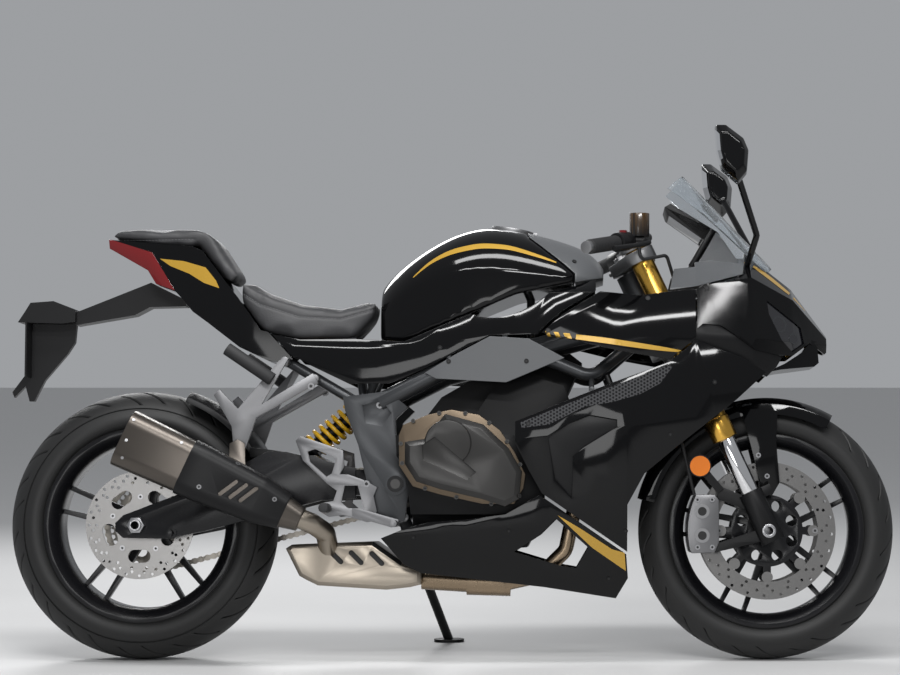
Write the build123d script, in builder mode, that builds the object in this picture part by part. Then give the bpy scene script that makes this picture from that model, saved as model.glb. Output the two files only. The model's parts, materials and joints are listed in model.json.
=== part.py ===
from build123d import *
import os
from math import atan2, cos, degrees, pi, radians, sin

# Sport bike with a full fairing, leaning on its side stand.
# Every piece is drawn on the upright bike, in millimetres: x runs forward from the rear axle,
# y to the left and z up from the floor. At the end the whole bike leans over and moves so that
# the origin lies on the floor under the middle of its box.

# Stance and steering
WHEELBASE = 1460
RAKE = 25.0
YOKE_OFFSET = 32
LEAN = 4.5

# Clearances
FIT = 0.3  # between curved faces that seat on each other
BORE_FIT = 0.5  # around a turning shaft

# Wheels
FRONT_RADIUS = 300
FRONT_WIDTH = 120
FRONT_CROWN_DROP = 38  # from the crown down to the tread's shoulder
FRONT_RIM_WIDTH = 89
FRONT_HUB_HALF = 52
REAR_RADIUS = 313
REAR_WIDTH = 180
REAR_CROWN_DROP = 55
REAR_RIM_WIDTH = 140
REAR_HUB_HALF = 88
BEAD_RADIUS = 216  # seat of a 17 inch rim
LIP_RADIUS = 226
LIP_THICKNESS = 5.5
WELL_RADIUS = 194
HUB_RADIUS = 38
SPOKE_PAIRS = 5
SPOKE_HALF_DEPTH = 13

# Brakes
FRONT_DISC_RADIUS = 160
FRONT_DISC_INNER = 119
DISC_THICKNESS = 5
DISC_BUTTONS = 8
BUTTON_CIRCLE = 106
REAR_DISC_RADIUS = 125
DISC_HOLE_RADIUS = 3.5
DISC_GAP = 5.5  # each side of a disc inside its caliper

# Axles and fork
FRONT_AXLE_RADIUS = 12.5
FRONT_AXLE_BORE = 9
FRONT_AXLE_HALF = 134
REAR_AXLE_RADIUS = 14
REAR_AXLE_BORE = 9
REAR_AXLE_HALF = 168
FORK_HALF = 105  # from the middle to a fork leg
FORK_TUBE_RADIUS = 27
FORK_COLLAR_RADIUS = 30
SLIDER_RADIUS = 21.5
FORK_BOTTOM_RADIUS = 28
FORK_BOTTOM_TOP = 98  # heights on the fork are measured along it from the axle
FORK_TUBE_FOOT = 235
FORK_TOP = 748
LOWER_YOKE = 470
LOWER_YOKE_DEPTH = 34
UPPER_YOKE = 690
UPPER_YOKE_DEPTH = 28
STEM_RADIUS = 16
HEADSTOCK_RADIUS = 34
HEADSTOCK_GAP = 5

# Chain drive
CHAIN_PITCH = 15.875
REAR_TEETH = 43
FRONT_TEETH = 15
CHAIN_Y = 107
CHAIN_PLATE = 2.4
CHAIN_INNER_HALF = 4.6  # half the gap between the plates
CHAIN_HEIGHT = 15
FRONT_SPROCKET_X = 655
FRONT_SPROCKET_Z = 412

# Swingarm and side stand
PIVOT_X = 598
PIVOT_Z = 408
ARM_INNER = 122
ARM_MIDDLE_HALF = 93
PIVOT_SHAFT = 12
ARM_OUTER = 146
STAND_PIVOT = (622, 125, 255)
STAND_FOOT = (700, 330)
STAND_AXIS_TILT = 35
STAND_LEG_RADIUS = 11
BOBBIN_RADIUS = 8  # spools that a paddock stand lifts
BOBBIN_X = 80
BOBBIN_DROP = 18  # below the rear axle
BOBBIN_LENGTH = 24
BOBBIN_COLLAR = 5

# Bodywork
PANEL = 4  # wall of a painted panel
SEAM = 1.5  # open joint between neighbouring panels

# Directions and planes that several pieces share
FORK = Plane(
    origin=(WHEELBASE, 0, FRONT_RADIUS),
    x_dir=(cos(radians(RAKE)), 0, sin(radians(RAKE))),
    z_dir=(-sin(radians(RAKE)), 0, cos(radians(RAKE))),
)
FRONT_SIDE = Plane(origin=(WHEELBASE, 0, FRONT_RADIUS), x_dir=(1, 0, 0), z_dir=(0, -1, 0))
REAR_SIDE = Plane(origin=(0, 0, REAR_RADIUS), x_dir=(1, 0, 0), z_dir=(0, -1, 0))
FRONT_AXIS = Axis((WHEELBASE, 0, FRONT_RADIUS), (0, 1, 0))
REAR_AXIS = Axis((0, 0, REAR_RADIUS), (0, 1, 0))
SIDES = (1, -1)  # left, right

# Outlines and places below are drawn around these wheels. A change of wheelbase is taken up between two
# marks in the middle of the bike, and larger wheels lift what they carry.
DRAWN = {"wheelbase": 1460, "front_radius": 300, "rear_radius": 313, "from": 700, "to": 1170}

pieces = []


def along(x):
    """Place along the bike of what is drawn at x."""
    share = min(max((x - DRAWN["from"]) / (DRAWN["to"] - DRAWN["from"]), 0), 1)
    return x + share * (WHEELBASE - DRAWN["wheelbase"])


def lift(x):
    """Height that the wheels add to what is drawn at x."""
    share = min(max(x / DRAWN["wheelbase"], 0), 1)
    return (1 - share) * (REAR_RADIUS - DRAWN["rear_radius"]) + share * (FRONT_RADIUS - DRAWN["front_radius"])


def spot(x, y, z):
    """Point on the bike from its drawn place."""
    return (along(x), y, z + lift(x))


def finish(part, name):
    part.label = name
    pieces.append(part)


def prism(outline, left, right):
    """Solid with a side-view outline of (x, z) points, from y = left to y = right."""
    with BuildPart() as solid:
        with BuildSketch(Plane.XZ.offset(-left)):
            with BuildLine():
                Polyline(*outline, close=True)
            make_face()
        extrude(amount=left - right)
    return solid.part


def side_prism(outline, left, right):
    """Prism from an outline as it is drawn on the bike."""
    return prism([(along(x), z + lift(x)) for x, z in outline], left, right)


def front_prism(outline, left, right):
    """Prism from an outline measured from the front axle."""
    return prism([(WHEELBASE + x, FRONT_RADIUS + z) for x, z in outline], left, right)


def rear_prism(outline, left, right):
    """Prism from an outline measured from the rear axle."""
    return prism([(x, REAR_RADIUS + z) for x, z in outline], left, right)


def plan_prism(stations, low, high):
    """Solid with a plan outline of (x, half width) stations, from z = low to z = high."""
    edge = [(along(x), half) for x, half in stations]
    with BuildPart() as solid:
        with BuildSketch(Plane.XY.offset(low)):
            with BuildLine():
                Polyline(*edge, *[(x, -half) for x, half in reversed(edge)], close=True)
            make_face()
        extrude(amount=high - low)
    return solid.part


def rod(start, end, radius):
    """Round bar between two points."""
    run = Vector(*end) - Vector(*start)
    with BuildPart() as bar:
        with BuildSketch(Plane(origin=start, z_dir=run)):
            Circle(radius)
        extrude(amount=run.length)
    return bar.part


def bent_tube(points, radius, bend):
    """Round tube along straight runs with rounded corners."""
    with BuildPart() as tube:
        with BuildLine() as path:
            FilletPolyline(*points, radius=bend)
        with BuildSketch(Plane(origin=path.line @ 0, z_dir=path.line % 0)):
            Circle(radius)
        sweep(path=path.line)
    return tube.part


def both_sides(part):
    """A right-hand piece and its mirror image."""
    return [part, mirror(part, about=Plane.XZ)]


def sided(points, side):
    """Points drawn on the left of the bike, moved to one side of it."""
    return [spot(x, side * y, z) for x, y, z in points]


def on_fork(points):
    """Points measured along the fork from the front axle."""
    return [tuple(FORK.from_local_coords(Vector(*point))) for point in points]


# Wheels


def radial_plane(axle_x, radius):
    return Plane(origin=(axle_x, 0, radius), x_dir=(0, 1, 0), z_dir=(1, 0, 0))


def tyre(axle_x, radius, width, crown_drop, rim_width, axis):
    half = width / 2
    shoulder = (half - 2, radius - crown_drop)
    bead_half = rim_width / 2 - FIT
    bead = BEAD_RADIUS + FIT
    over_lip = LIP_RADIUS + 2
    bulge = (half, (shoulder[1] + over_lip) / 2)
    with BuildPart() as ring:
        with BuildSketch(radial_plane(axle_x, radius)):
            with BuildLine():
                ThreePointArc((-shoulder[0], shoulder[1]), (0, radius), shoulder)
                ThreePointArc(shoulder, bulge, (bead_half, over_lip))
                Polyline((bead_half, over_lip), (bead_half, bead), (-bead_half, bead), (-bead_half, over_lip))
                ThreePointArc((-bead_half, over_lip), (-bulge[0], bulge[1]), (-shoulder[0], shoulder[1]))
            make_face()
        revolve(axis=axis)
    return ring.part


def rim(axle_x, radius, rim_width, hub_half, axle_radius, side_plane, axis, first_spoke):
    seat = rim_width / 2
    lip = seat + LIP_THICKNESS
    half_profile = [(seat, BEAD_RADIUS), (seat, LIP_RADIUS), (lip, LIP_RADIUS), (lip, LIP_RADIUS - 10)]
    half_profile += [(lip - 12, WELL_RADIUS + 9), (lip - 28, WELL_RADIUS)]
    profile = half_profile + [(-y, r) for y, r in reversed(half_profile)]
    with BuildPart() as wheel:
        with BuildSketch(radial_plane(axle_x, radius)):
            with BuildLine():
                Polyline(*profile, close=True)
            make_face()
        revolve(axis=axis)
        with BuildSketch(side_plane.offset(-SPOKE_HALF_DEPTH)):
            with PolarLocations(0, SPOKE_PAIRS, start_angle=first_spoke):
                for side in SIDES:
                    Polygon(
                        (HUB_RADIUS - 12, side * 6),
                        (HUB_RADIUS - 12, side * 24),
                        (WELL_RADIUS + 5, side * 34),
                        (WELL_RADIUS + 5, side * 24),
                        align=None,
                    )
        extrude(amount=2 * SPOKE_HALF_DEPTH)
        with BuildSketch(side_plane.offset(-hub_half)):
            Circle(HUB_RADIUS)
        extrude(amount=2 * hub_half)
        with BuildSketch(side_plane.offset(-hub_half)):
            Circle(axle_radius + BORE_FIT)
        extrude(amount=2 * hub_half, mode=Mode.SUBTRACT)
    return wheel.part


finish(
    tyre(WHEELBASE, FRONT_RADIUS, FRONT_WIDTH, FRONT_CROWN_DROP, FRONT_RIM_WIDTH, FRONT_AXIS),
    "front_tyre",
)
finish(tyre(0, REAR_RADIUS, REAR_WIDTH, REAR_CROWN_DROP, REAR_RIM_WIDTH, REAR_AXIS), "rear_tyre")

front_wheel_form = rim(
    WHEELBASE, FRONT_RADIUS, FRONT_RIM_WIDTH, FRONT_HUB_HALF, FRONT_AXLE_RADIUS, FRONT_SIDE, FRONT_AXIS, 30
)
CARRIER_THICKNESS = 5
with BuildPart() as front_rim:
    add(front_wheel_form)
    for start in (FRONT_HUB_HALF, -FRONT_HUB_HALF - CARRIER_THICKNESS):
        with BuildSketch(FRONT_SIDE.offset(start)):
            Circle(BUTTON_CIRCLE - 22)
            with PolarLocations(BUTTON_CIRCLE - 8, DISC_BUTTONS):
                Rectangle(34, 18)
            with PolarLocations(62, DISC_BUTTONS, start_angle=22.5):
                Circle(13, mode=Mode.SUBTRACT)
            Circle(FRONT_AXLE_RADIUS + BORE_FIT, mode=Mode.SUBTRACT)
        extrude(amount=CARRIER_THICKNESS)
finish(front_rim.part, "front_rim")

finish(
    rim(0, REAR_RADIUS, REAR_RIM_WIDTH, REAR_HUB_HALF, REAR_AXLE_RADIUS, REAR_SIDE, REAR_AXIS, 18),
    "rear_rim",
)

FRONT_DISC_Y = FRONT_HUB_HALF + CARRIER_THICKNESS
FRONT_HOLE_ROWS = ((128, 16, 0), (140, 24, 5), (151, 24, 12))  # circle radius, holes, first angle
with BuildPart() as front_discs:
    for start in (FRONT_DISC_Y, -FRONT_DISC_Y - DISC_THICKNESS):
        with BuildSketch(FRONT_SIDE.offset(start)):
            Circle(FRONT_DISC_RADIUS)
            Circle(FRONT_DISC_INNER, mode=Mode.SUBTRACT)
            with PolarLocations(BUTTON_CIRCLE + 2, DISC_BUTTONS):
                Circle(13)
            for circle, holes, first in FRONT_HOLE_ROWS:
                with PolarLocations(circle, holes, start_angle=first):
                    Circle(DISC_HOLE_RADIUS, mode=Mode.SUBTRACT)
        extrude(amount=DISC_THICKNESS)
finish(front_discs.part, "front_discs")

REAR_HOLE_ROWS = ((100, 18, 0), (109, 24, 6), (117, 24, 0))
REAR_DISC_WINDOWS = 5
with BuildPart() as rear_disc:
    with BuildSketch(REAR_SIDE.offset(REAR_HUB_HALF)):
        Circle(REAR_DISC_RADIUS)
        Circle(HUB_RADIUS - 8, mode=Mode.SUBTRACT)
        with PolarLocations(72, REAR_DISC_WINDOWS, start_angle=54):
            SlotOverall(52, 30, rotation=90, mode=Mode.SUBTRACT)
        for circle, holes, first in REAR_HOLE_ROWS:
            with PolarLocations(circle, holes, start_angle=first):
                Circle(DISC_HOLE_RADIUS, mode=Mode.SUBTRACT)
    extrude(amount=DISC_THICKNESS)
finish(rear_disc.part, "rear_disc")

# Sprocket and chain. The teeth run just inside the chain's rollers.

REAR_PITCH_RADIUS = CHAIN_PITCH / (2 * sin(pi / REAR_TEETH))
FRONT_PITCH_RADIUS = CHAIN_PITCH / (2 * sin(pi / FRONT_TEETH))
TOOTH_TIP = REAR_PITCH_RADIUS - CHAIN_HEIGHT / 2 - 1.5
TOOTH_DEPTH = 6
SPROCKET_HALF = 3
with BuildPart() as rear_sprocket:
    with BuildSketch(REAR_SIDE.offset(-CHAIN_Y - SPROCKET_HALF)):
        Circle(TOOTH_TIP - TOOTH_DEPTH)
        with PolarLocations(TOOTH_TIP - TOOTH_DEPTH, REAR_TEETH):
            Polygon((-2, -4.4), (TOOTH_DEPTH, -1.6), (TOOTH_DEPTH, 1.6), (-2, 4.4), align=None)
        with PolarLocations(67, 6):
            SlotOverall(44, 26, rotation=90, mode=Mode.SUBTRACT)
        Circle(REAR_AXLE_RADIUS + BORE_FIT, mode=Mode.SUBTRACT)
    extrude(amount=2 * SPROCKET_HALF)
    with BuildSketch(REAR_SIDE.offset(-CHAIN_Y + SPROCKET_HALF)):
        Circle(48)
        Circle(REAR_AXLE_RADIUS + BORE_FIT, mode=Mode.SUBTRACT)
    extrude(amount=CHAIN_Y - SPROCKET_HALF - REAR_HUB_HALF)
finish(rear_sprocket.part, "rear_sprocket")

SPROCKET_Z = FRONT_SPROCKET_Z + lift(FRONT_SPROCKET_X)
FRONT_SPROCKET = (FRONT_SPROCKET_X, SPROCKET_Z - REAR_RADIUS)


def chain_edge(grow):
    """Corners and arc middles of a line that follows the chain's pitch line at a distance."""
    tilt = atan2(FRONT_SPROCKET[1], FRONT_SPROCKET[0])
    run = (FRONT_SPROCKET[0] ** 2 + FRONT_SPROCKET[1] ** 2) ** 0.5
    slope = (REAR_PITCH_RADIUS - FRONT_PITCH_RADIUS) / run
    rise = (1 - slope**2) ** 0.5
    rear, front = REAR_PITCH_RADIUS + grow, FRONT_PITCH_RADIUS + grow
    level = [
        (rear * slope, rear * rise), (run + front * slope, front * rise), (run + front, 0),
        (run + front * slope, -front * rise), (rear * slope, -rear * rise), (-rear, 0),
    ]
    return [(x * cos(tilt) - y * sin(tilt), x * sin(tilt) + y * cos(tilt)) for x, y in level]


def chain_loop(half_height):
    """Face of the belt on both sides of the chain's pitch line."""
    with BuildSketch() as loop:
        for grow, mode in ((half_height, Mode.ADD), (-half_height, Mode.SUBTRACT)):
            top_rear, top_front, nose, low_front, low_rear, back = chain_edge(grow)
            with BuildLine():
                Line(top_rear, top_front)
                ThreePointArc(top_front, nose, low_front)
                Line(low_front, low_rear)
                ThreePointArc(low_rear, back, top_rear)
            make_face(mode=mode)
    return loop.sketch


chain_band = chain_loop(CHAIN_HEIGHT / 2 - 2)
chain_rollers = chain_loop(CHAIN_HEIGHT / 2 - 3)
with BuildPart() as drive_chain:
    with BuildSketch(REAR_SIDE.offset(-CHAIN_Y - CHAIN_INNER_HALF - CHAIN_PLATE)):
        add(chain_band)
    extrude(amount=CHAIN_PLATE)
    with BuildSketch(REAR_SIDE.offset(-CHAIN_Y + CHAIN_INNER_HALF)):
        add(chain_band)
    extrude(amount=CHAIN_PLATE)
    with BuildSketch(REAR_SIDE.offset(-CHAIN_Y - CHAIN_INNER_HALF)):
        add(chain_rollers)
    extrude(amount=2 * CHAIN_INNER_HALF)
finish(drive_chain.part, "drive_chain")

# Axles

with BuildPart() as front_axle:
    with BuildSketch(FRONT_SIDE.offset(-FRONT_AXLE_HALF)):
        Circle(FRONT_AXLE_RADIUS)
        Circle(FRONT_AXLE_BORE, mode=Mode.SUBTRACT)
    extrude(amount=2 * FRONT_AXLE_HALF)
    for start in (FRONT_AXLE_HALF, -FRONT_AXLE_HALF - 5):
        with BuildSketch(FRONT_SIDE.offset(start)):
            Circle(16)
            Circle(FRONT_AXLE_BORE, mode=Mode.SUBTRACT)
        extrude(amount=5)
finish(front_axle.part, "front_axle")

with BuildPart() as rear_axle:
    with BuildSketch(REAR_SIDE.offset(-REAR_AXLE_HALF)):
        Circle(REAR_AXLE_RADIUS)
        Circle(REAR_AXLE_BORE, mode=Mode.SUBTRACT)
    extrude(amount=2 * REAR_AXLE_HALF)
    for start in (ARM_OUTER, -ARM_OUTER - 10):
        with BuildSketch(REAR_SIDE.offset(start)):
            RegularPolygon(20, 6)
            Circle(REAR_AXLE_BORE, mode=Mode.SUBTRACT)
        extrude(amount=10)
finish(rear_axle.part, "rear_axle")

# Fork, yokes and stem

LEGS = ((0, FORK_HALF), (0, -FORK_HALF))

with BuildPart() as fork_tubes:
    with BuildSketch(FORK.offset(FORK_TUBE_FOOT)):
        with Locations(*LEGS):
            Circle(FORK_COLLAR_RADIUS)
    extrude(amount=52)
    with BuildSketch(FORK.offset(FORK_TUBE_FOOT + 52)):
        with Locations(*LEGS):
            Circle(FORK_TUBE_RADIUS)
    extrude(amount=FORK_TOP - FORK_TUBE_FOOT - 52)
finish(fork_tubes.part, "fork_tubes")

with BuildPart() as fork_sliders:
    with BuildSketch(FORK.offset(FORK_BOTTOM_TOP)):
        with Locations(*LEGS):
            Circle(SLIDER_RADIUS)
    extrude(amount=FORK_TUBE_FOOT - FORK_BOTTOM_TOP)
finish(fork_sliders.part, "fork_sliders")

CALIPER_ARM_UPPER = [(-124, 98), (-108, 102), (-35, 72), (-28, 40), (-114, 72)]
CALIPER_ARM_LOWER = [(-124, -50), (-20, -26), (-14, 6), (-114, -28)]
BLADE_BOSS_Y = (74.5, 92)
bottom_arms = []
for outline in (CALIPER_ARM_UPPER, CALIPER_ARM_LOWER):
    bottom_arms += both_sides(front_prism(outline, -88, -106))
with BuildPart() as fork_bottoms:
    with BuildSketch(FORK.offset(-26)):
        with Locations(*LEGS):
            Circle(FORK_BOTTOM_RADIUS)
    extrude(amount=FORK_BOTTOM_TOP + 26)
    for side in SIDES:
        middle = side * (BLADE_BOSS_Y[0] + BLADE_BOSS_Y[1]) / 2
        with BuildSketch(FORK.offset(74)):
            with Locations((28, middle)):
                Rectangle(44, BLADE_BOSS_Y[1] - BLADE_BOSS_Y[0])
        extrude(amount=24)
    add(bottom_arms)
    add(fork_sliders.part, mode=Mode.SUBTRACT)
    with BuildSketch(FRONT_SIDE.offset(-FRONT_AXLE_HALF)):
        Circle(FRONT_AXLE_RADIUS + FIT)
    extrude(amount=2 * FRONT_AXLE_HALF, mode=Mode.SUBTRACT)
finish(fork_bottoms.part, "fork_bottoms")


def yoke_plate(height, depth, clamp, boss):
    with BuildPart() as plate:
        with BuildSketch(FORK.offset(height)):
            with Locations(*LEGS):
                Circle(clamp)
            with Locations((-YOKE_OFFSET, 0)):
                Circle(boss)
            make_hull()
            with Locations(*LEGS):
                Circle(FORK_TUBE_RADIUS + FIT, mode=Mode.SUBTRACT)
            with Locations((-YOKE_OFFSET + 52, 0)):
                Circle(26, mode=Mode.SUBTRACT)
        extrude(amount=depth)
    return plate.part


yoke_plates = [
    yoke_plate(LOWER_YOKE, LOWER_YOKE_DEPTH, 40, 40),
    yoke_plate(UPPER_YOKE, UPPER_YOKE_DEPTH, 38, 40),
]
with BuildPart() as yokes:
    add(yoke_plates)
    with BuildSketch(FORK.offset(LOWER_YOKE - 12)):
        with Locations((-YOKE_OFFSET, 0)):
            Circle(STEM_RADIUS)
    extrude(amount=UPPER_YOKE + UPPER_YOKE_DEPTH + 14 - LOWER_YOKE + 12)
    with BuildSketch(FORK.offset(UPPER_YOKE + UPPER_YOKE_DEPTH)):
        with Locations((-YOKE_OFFSET, 0)):
            RegularPolygon(22, 6)
    extrude(amount=12)
finish(yokes.part, "yokes")

# Handlebars: a clamp on each fork leg, above the upper yoke, carries a bar that sweeps back

BAR_RADIUS = 11
BAR_INNER, BAR_OUTER = on_fork([(36.3, 118, 735.6), (-107.4, 348, 754.0)])
CLAMP_HEIGHT = UPPER_YOKE + UPPER_YOKE_DEPTH + 4
CLAMP_DEPTH = 24
GRIP_RADIUS = 16
GRIP_LENGTH = 122
BAR_RUN = Vector(*BAR_OUTER) - Vector(*BAR_INNER)
BAR_STEP = BAR_RUN.normalized()


def bar_point(distance, side):
    """Point on a bar, a distance in from its outer end."""
    point = Vector(*BAR_OUTER) - BAR_STEP * distance
    return (point.X, side * point.Y, point.Z)


clamp_middle = FORK.from_local_coords(Vector(0, FORK_HALF, CLAMP_HEIGHT + CLAMP_DEPTH / 2))
bar_rods = []
for side in SIDES:
    bar_rods.append(rod((BAR_INNER[0], side * BAR_INNER[1], BAR_INNER[2]), bar_point(0, side), BAR_RADIUS))
    bar_rods.append(
        rod((clamp_middle.X, side * clamp_middle.Y, clamp_middle.Z), bar_point(BAR_RUN.length - 14, side), 14)
    )
    bar_rods.append(rod(bar_point(0, side), bar_point(-14, side), 14))
with BuildPart() as handlebars:
    with BuildSketch(FORK.offset(CLAMP_HEIGHT)):
        with Locations(*LEGS):
            Circle(FORK_TUBE_RADIUS + 10)
    extrude(amount=CLAMP_DEPTH)
    add(bar_rods)
    with BuildSketch(FORK.offset(CLAMP_HEIGHT - 30)):
        with Locations(*LEGS):
            Circle(FORK_TUBE_RADIUS + FIT)
    extrude(amount=CLAMP_DEPTH + 80, mode=Mode.SUBTRACT)
finish(handlebars.part, "handlebars")

grip_rods = [rod(bar_point(FIT, side), bar_point(GRIP_LENGTH, side), GRIP_RADIUS) for side in SIDES]
bar_holes = [rod(bar_point(-20, side), bar_point(GRIP_LENGTH + 20, side), BAR_RADIUS + FIT) for side in SIDES]
with BuildPart() as grips:
    add(grip_rods)
    add(bar_holes, mode=Mode.SUBTRACT)
finish(grips.part, "grips")

SWITCH_START = GRIP_LENGTH + 2
SWITCH_LENGTH = 46
PERCH_START = SWITCH_START + SWITCH_LENGTH + 2
PERCH_LENGTH = 26
PERCH_RADIUS = 13
LEVER_REACH = 62  # from the bar forward to the lever


def lever_path(side):
    """Line of a lever, from its perch to the bar's end, ahead of and a little below the bar."""
    rows = (
        (PERCH_START + 12, 26, 0),
        (PERCH_START - 14, LEVER_REACH, 2),
        (70, LEVER_REACH, 4),
        (4, LEVER_REACH - 8, 4),
    )
    points = []
    for distance, ahead, below in rows:
        x, y, z = bar_point(distance, side)
        points.append((x + ahead, y, z - below))
    return points


control_solids = []
for side in SIDES:
    control_solids.append(
        rod(bar_point(SWITCH_START, side), bar_point(SWITCH_START + SWITCH_LENGTH, side), 22)
    )
    control_solids.append(
        rod(bar_point(PERCH_START - 4, side), bar_point(PERCH_START + PERCH_LENGTH, side), 19)
    )
    perch = bar_point(PERCH_START + 12, side)
    control_solids.append(rod(perch, (perch[0] + 34, perch[1], perch[2]), PERCH_RADIUS))
    control_solids.append(bent_tube(lever_path(side), 6, 18))
cup = bar_point(PERCH_START + 18, -1)
control_solids.append(rod((cup[0] + 20, cup[1], cup[2] + 8), (cup[0] + 20, cup[1], cup[2] + 62), 23))
control_holes = [rod(bar_point(0, side), bar_point(BAR_RUN.length, side), BAR_RADIUS + FIT) for side in SIDES]
with BuildPart() as hand_controls:
    add(control_solids)
    add(control_holes, mode=Mode.SUBTRACT)
finish(hand_controls.part, "hand_controls")

# Front brake calipers and mudguard

CALIPER_OUTLINE = [
    (-190, -38), (-176, -52), (-124, -50), (-114, -38), (-114, 72), (-124, 84), (-176, 84), (-190, 70),
]
caliper_block = front_prism(CALIPER_OUTLINE, -34, -104)
with BuildPart() as front_caliper:
    add(caliper_block)
    with BuildSketch(FRONT_SIDE.offset(FRONT_DISC_Y - DISC_GAP)):
        Circle(FRONT_DISC_RADIUS + DISC_GAP)
    extrude(amount=DISC_THICKNESS + 2 * DISC_GAP, mode=Mode.SUBTRACT)
    add(bottom_arms, mode=Mode.SUBTRACT)
    with BuildSketch(FRONT_SIDE):
        Circle(WELL_RADIUS - 7)
    extrude(amount=FRONT_AXLE_HALF, mode=Mode.INTERSECT)
caliper_pair = both_sides(front_caliper.part)
with BuildPart() as front_calipers:
    add(caliper_pair)
finish(front_calipers.part, "front_calipers")

GUARD_INNER = FRONT_RADIUS + 8
GUARD_WALL = 3
GUARD_START = 166
GUARD_ARC = 106
GUARD_SIDE_Y = 70
GUARD_SKIRT = FRONT_RADIUS - 28
guard_outer = [
    (GUARD_SIDE_Y + 3, GUARD_SKIRT), (GUARD_SIDE_Y, GUARD_SKIRT + 24), (45, GUARD_INNER + GUARD_WALL),
]
guard_inner = [(GUARD_SIDE_Y - 0.5, GUARD_SKIRT), (GUARD_SIDE_Y - 3.2, GUARD_SKIRT + 22.5), (44, GUARD_INNER)]
guard_profile = guard_outer + [(-y, r) for y, r in reversed(guard_outer)]
guard_profile += [(-y, r) for y, r in guard_inner] + list(reversed(guard_inner))
GUARD_BLADE = [(-60, 285), (25, 280), (22, 206), (29, 112), (11, 81), (-14, 88), (-30, 170)]
guard_blades = both_sides(front_prism(GUARD_BLADE, -GUARD_SIDE_Y - 0.5, -GUARD_SIDE_Y - 4))
guard_angle = radians(GUARD_START)
with BuildPart() as front_guard:
    with BuildSketch(
        Plane(origin=FRONT_AXIS.position, x_dir=(0, 1, 0), z_dir=(sin(guard_angle), 0, -cos(guard_angle)))
    ):
        with BuildLine():
            Polyline(*guard_profile, close=True)
        make_face()
    revolve(axis=FRONT_AXIS, revolution_arc=GUARD_ARC)
    add(guard_blades)
finish(front_guard.part, "front_mudguard")

HOSE_RADIUS = 4
HOSE_MAIN = [
    (-6, -186, 690), (58, -122, 680), (50, -85, 610), (50, -85, 440), (-30, -66, 395), (-85, -40, 329),
]
HOSE_ACROSS = [
    (-118.6, -70, 148), (-95, -92, 265), (-85, -60, 329), (-85, 60, 329), (-95, 92, 265), (-118.6, 70, 148),
]
master = bar_point(PERCH_START + 12, -1)
hose_start = (master[0] + 22, master[1] + 2, master[2] - PERCH_RADIUS - FIT)
hose_solids = [
    bent_tube([hose_start, *on_fork(HOSE_MAIN)], HOSE_RADIUS, 16),
    bent_tube(on_fork(HOSE_ACROSS), HOSE_RADIUS, 30),
]
with BuildPart() as brake_hoses:
    add(hose_solids)
    add(front_calipers.part, mode=Mode.SUBTRACT)
finish(brake_hoses.part, "brake_hoses")

# Frame: headstock, main tubes, struts, pivot plates and the tail's rails

PLATE_INNER = 122
PLATE_OUTER = 150
PIVOT_PLATE = [
    (475, 609), (581, 622), (625, 585), (596, 556), (600, 470), (628, 430), (628, 385), (618, 322),
    (543, 322), (530, 420), (511, 498), (480, 578),
]
PLATE_RECESS = [(520, 590), (566, 598), (588, 572), (566, 540), (528, 548)]
PIVOT_BOSS_RADIUS = 25
pivot_plates = both_sides(side_prism(PIVOT_PLATE, -PLATE_INNER, -PLATE_OUTER))
recesses = both_sides(side_prism(PLATE_RECESS, -PLATE_OUTER + 6, -PLATE_OUTER - 6))
frame_tubes = []
for side in SIDES:
    frame_tubes.append(
        bent_tube(sided([(1175, 26, 800), (1090, 105, 770), (700, 138, 668), (560, 132, 596)], side), 22, 60)
    )
    frame_tubes.append(
        bent_tube(sided([(1188, 24, 772), (1050, 128, 655), (900, 124, 716)], side), 15, 40)
    )
    frame_tubes.append(rod(*sided([(500, 118, 600), (330, 100, 700)], side), 12))
CROSS_TUBES = ((598, 331, 14), (520, 590, 16), (PIVOT_X, PIVOT_Z, PIVOT_SHAFT))  # x, z, radius
for x, z, radius in CROSS_TUBES:
    frame_tubes.append(rod(spot(x, PLATE_OUTER - 20, z), spot(x, -PLATE_OUTER + 20, z), radius))
PIVOT_STEPS = (
    (PLATE_OUTER - 24, PLATE_OUTER + 8, PIVOT_BOSS_RADIUS), (ARM_MIDDLE_HALF + 1, PLATE_INNER + 1, 20),
)
for inner, outer, radius in PIVOT_STEPS:
    for side in SIDES:
        frame_tubes.append(
            rod(spot(PIVOT_X, side * inner, PIVOT_Z), spot(PIVOT_X, side * outer, PIVOT_Z), radius)
        )
# Swingarm: a banana arm on each side, a brace in front of the tyre and the pivot tube.
# The chain runs above and below the brace, between the left arm and the middle part.

ARM_OUTLINE = [
    (-48, 318), (-30, 336), (86, 380), (247, 455), (300, 482), (345, 482), (505, 444), (505, 374), (425, 370),
    (160, 300), (69, 282), (-30, 284), (-48, 300),
]
arms = both_sides(side_prism(ARM_OUTLINE, -ARM_INNER, -ARM_OUTER))
BRACE_BACK = REAR_RADIUS + 39
BRACE = [(BRACE_BACK + 8, 424), (470, 424), (470, 384), (BRACE_BACK + 48, 378), (BRACE_BACK + 14, 388)]
BRACE_TOP = [(BRACE_BACK, 474), (BRACE_BACK + 58, 474), (470, 446), (470, 390), (BRACE_BACK + 8, 400)]
brace = side_prism(BRACE, ARM_OUTER, -ARM_OUTER)
brace_top = side_prism(BRACE_TOP, ARM_MIDDLE_HALF, -ARM_OUTER)
middle_outline = [(440, 446), (560, 440), (590, 436), (626, 420), (626, 394), (590, 380), (440, 384)]
middle = side_prism(middle_outline, ARM_MIDDLE_HALF, -ARM_MIDDLE_HALF)
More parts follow.
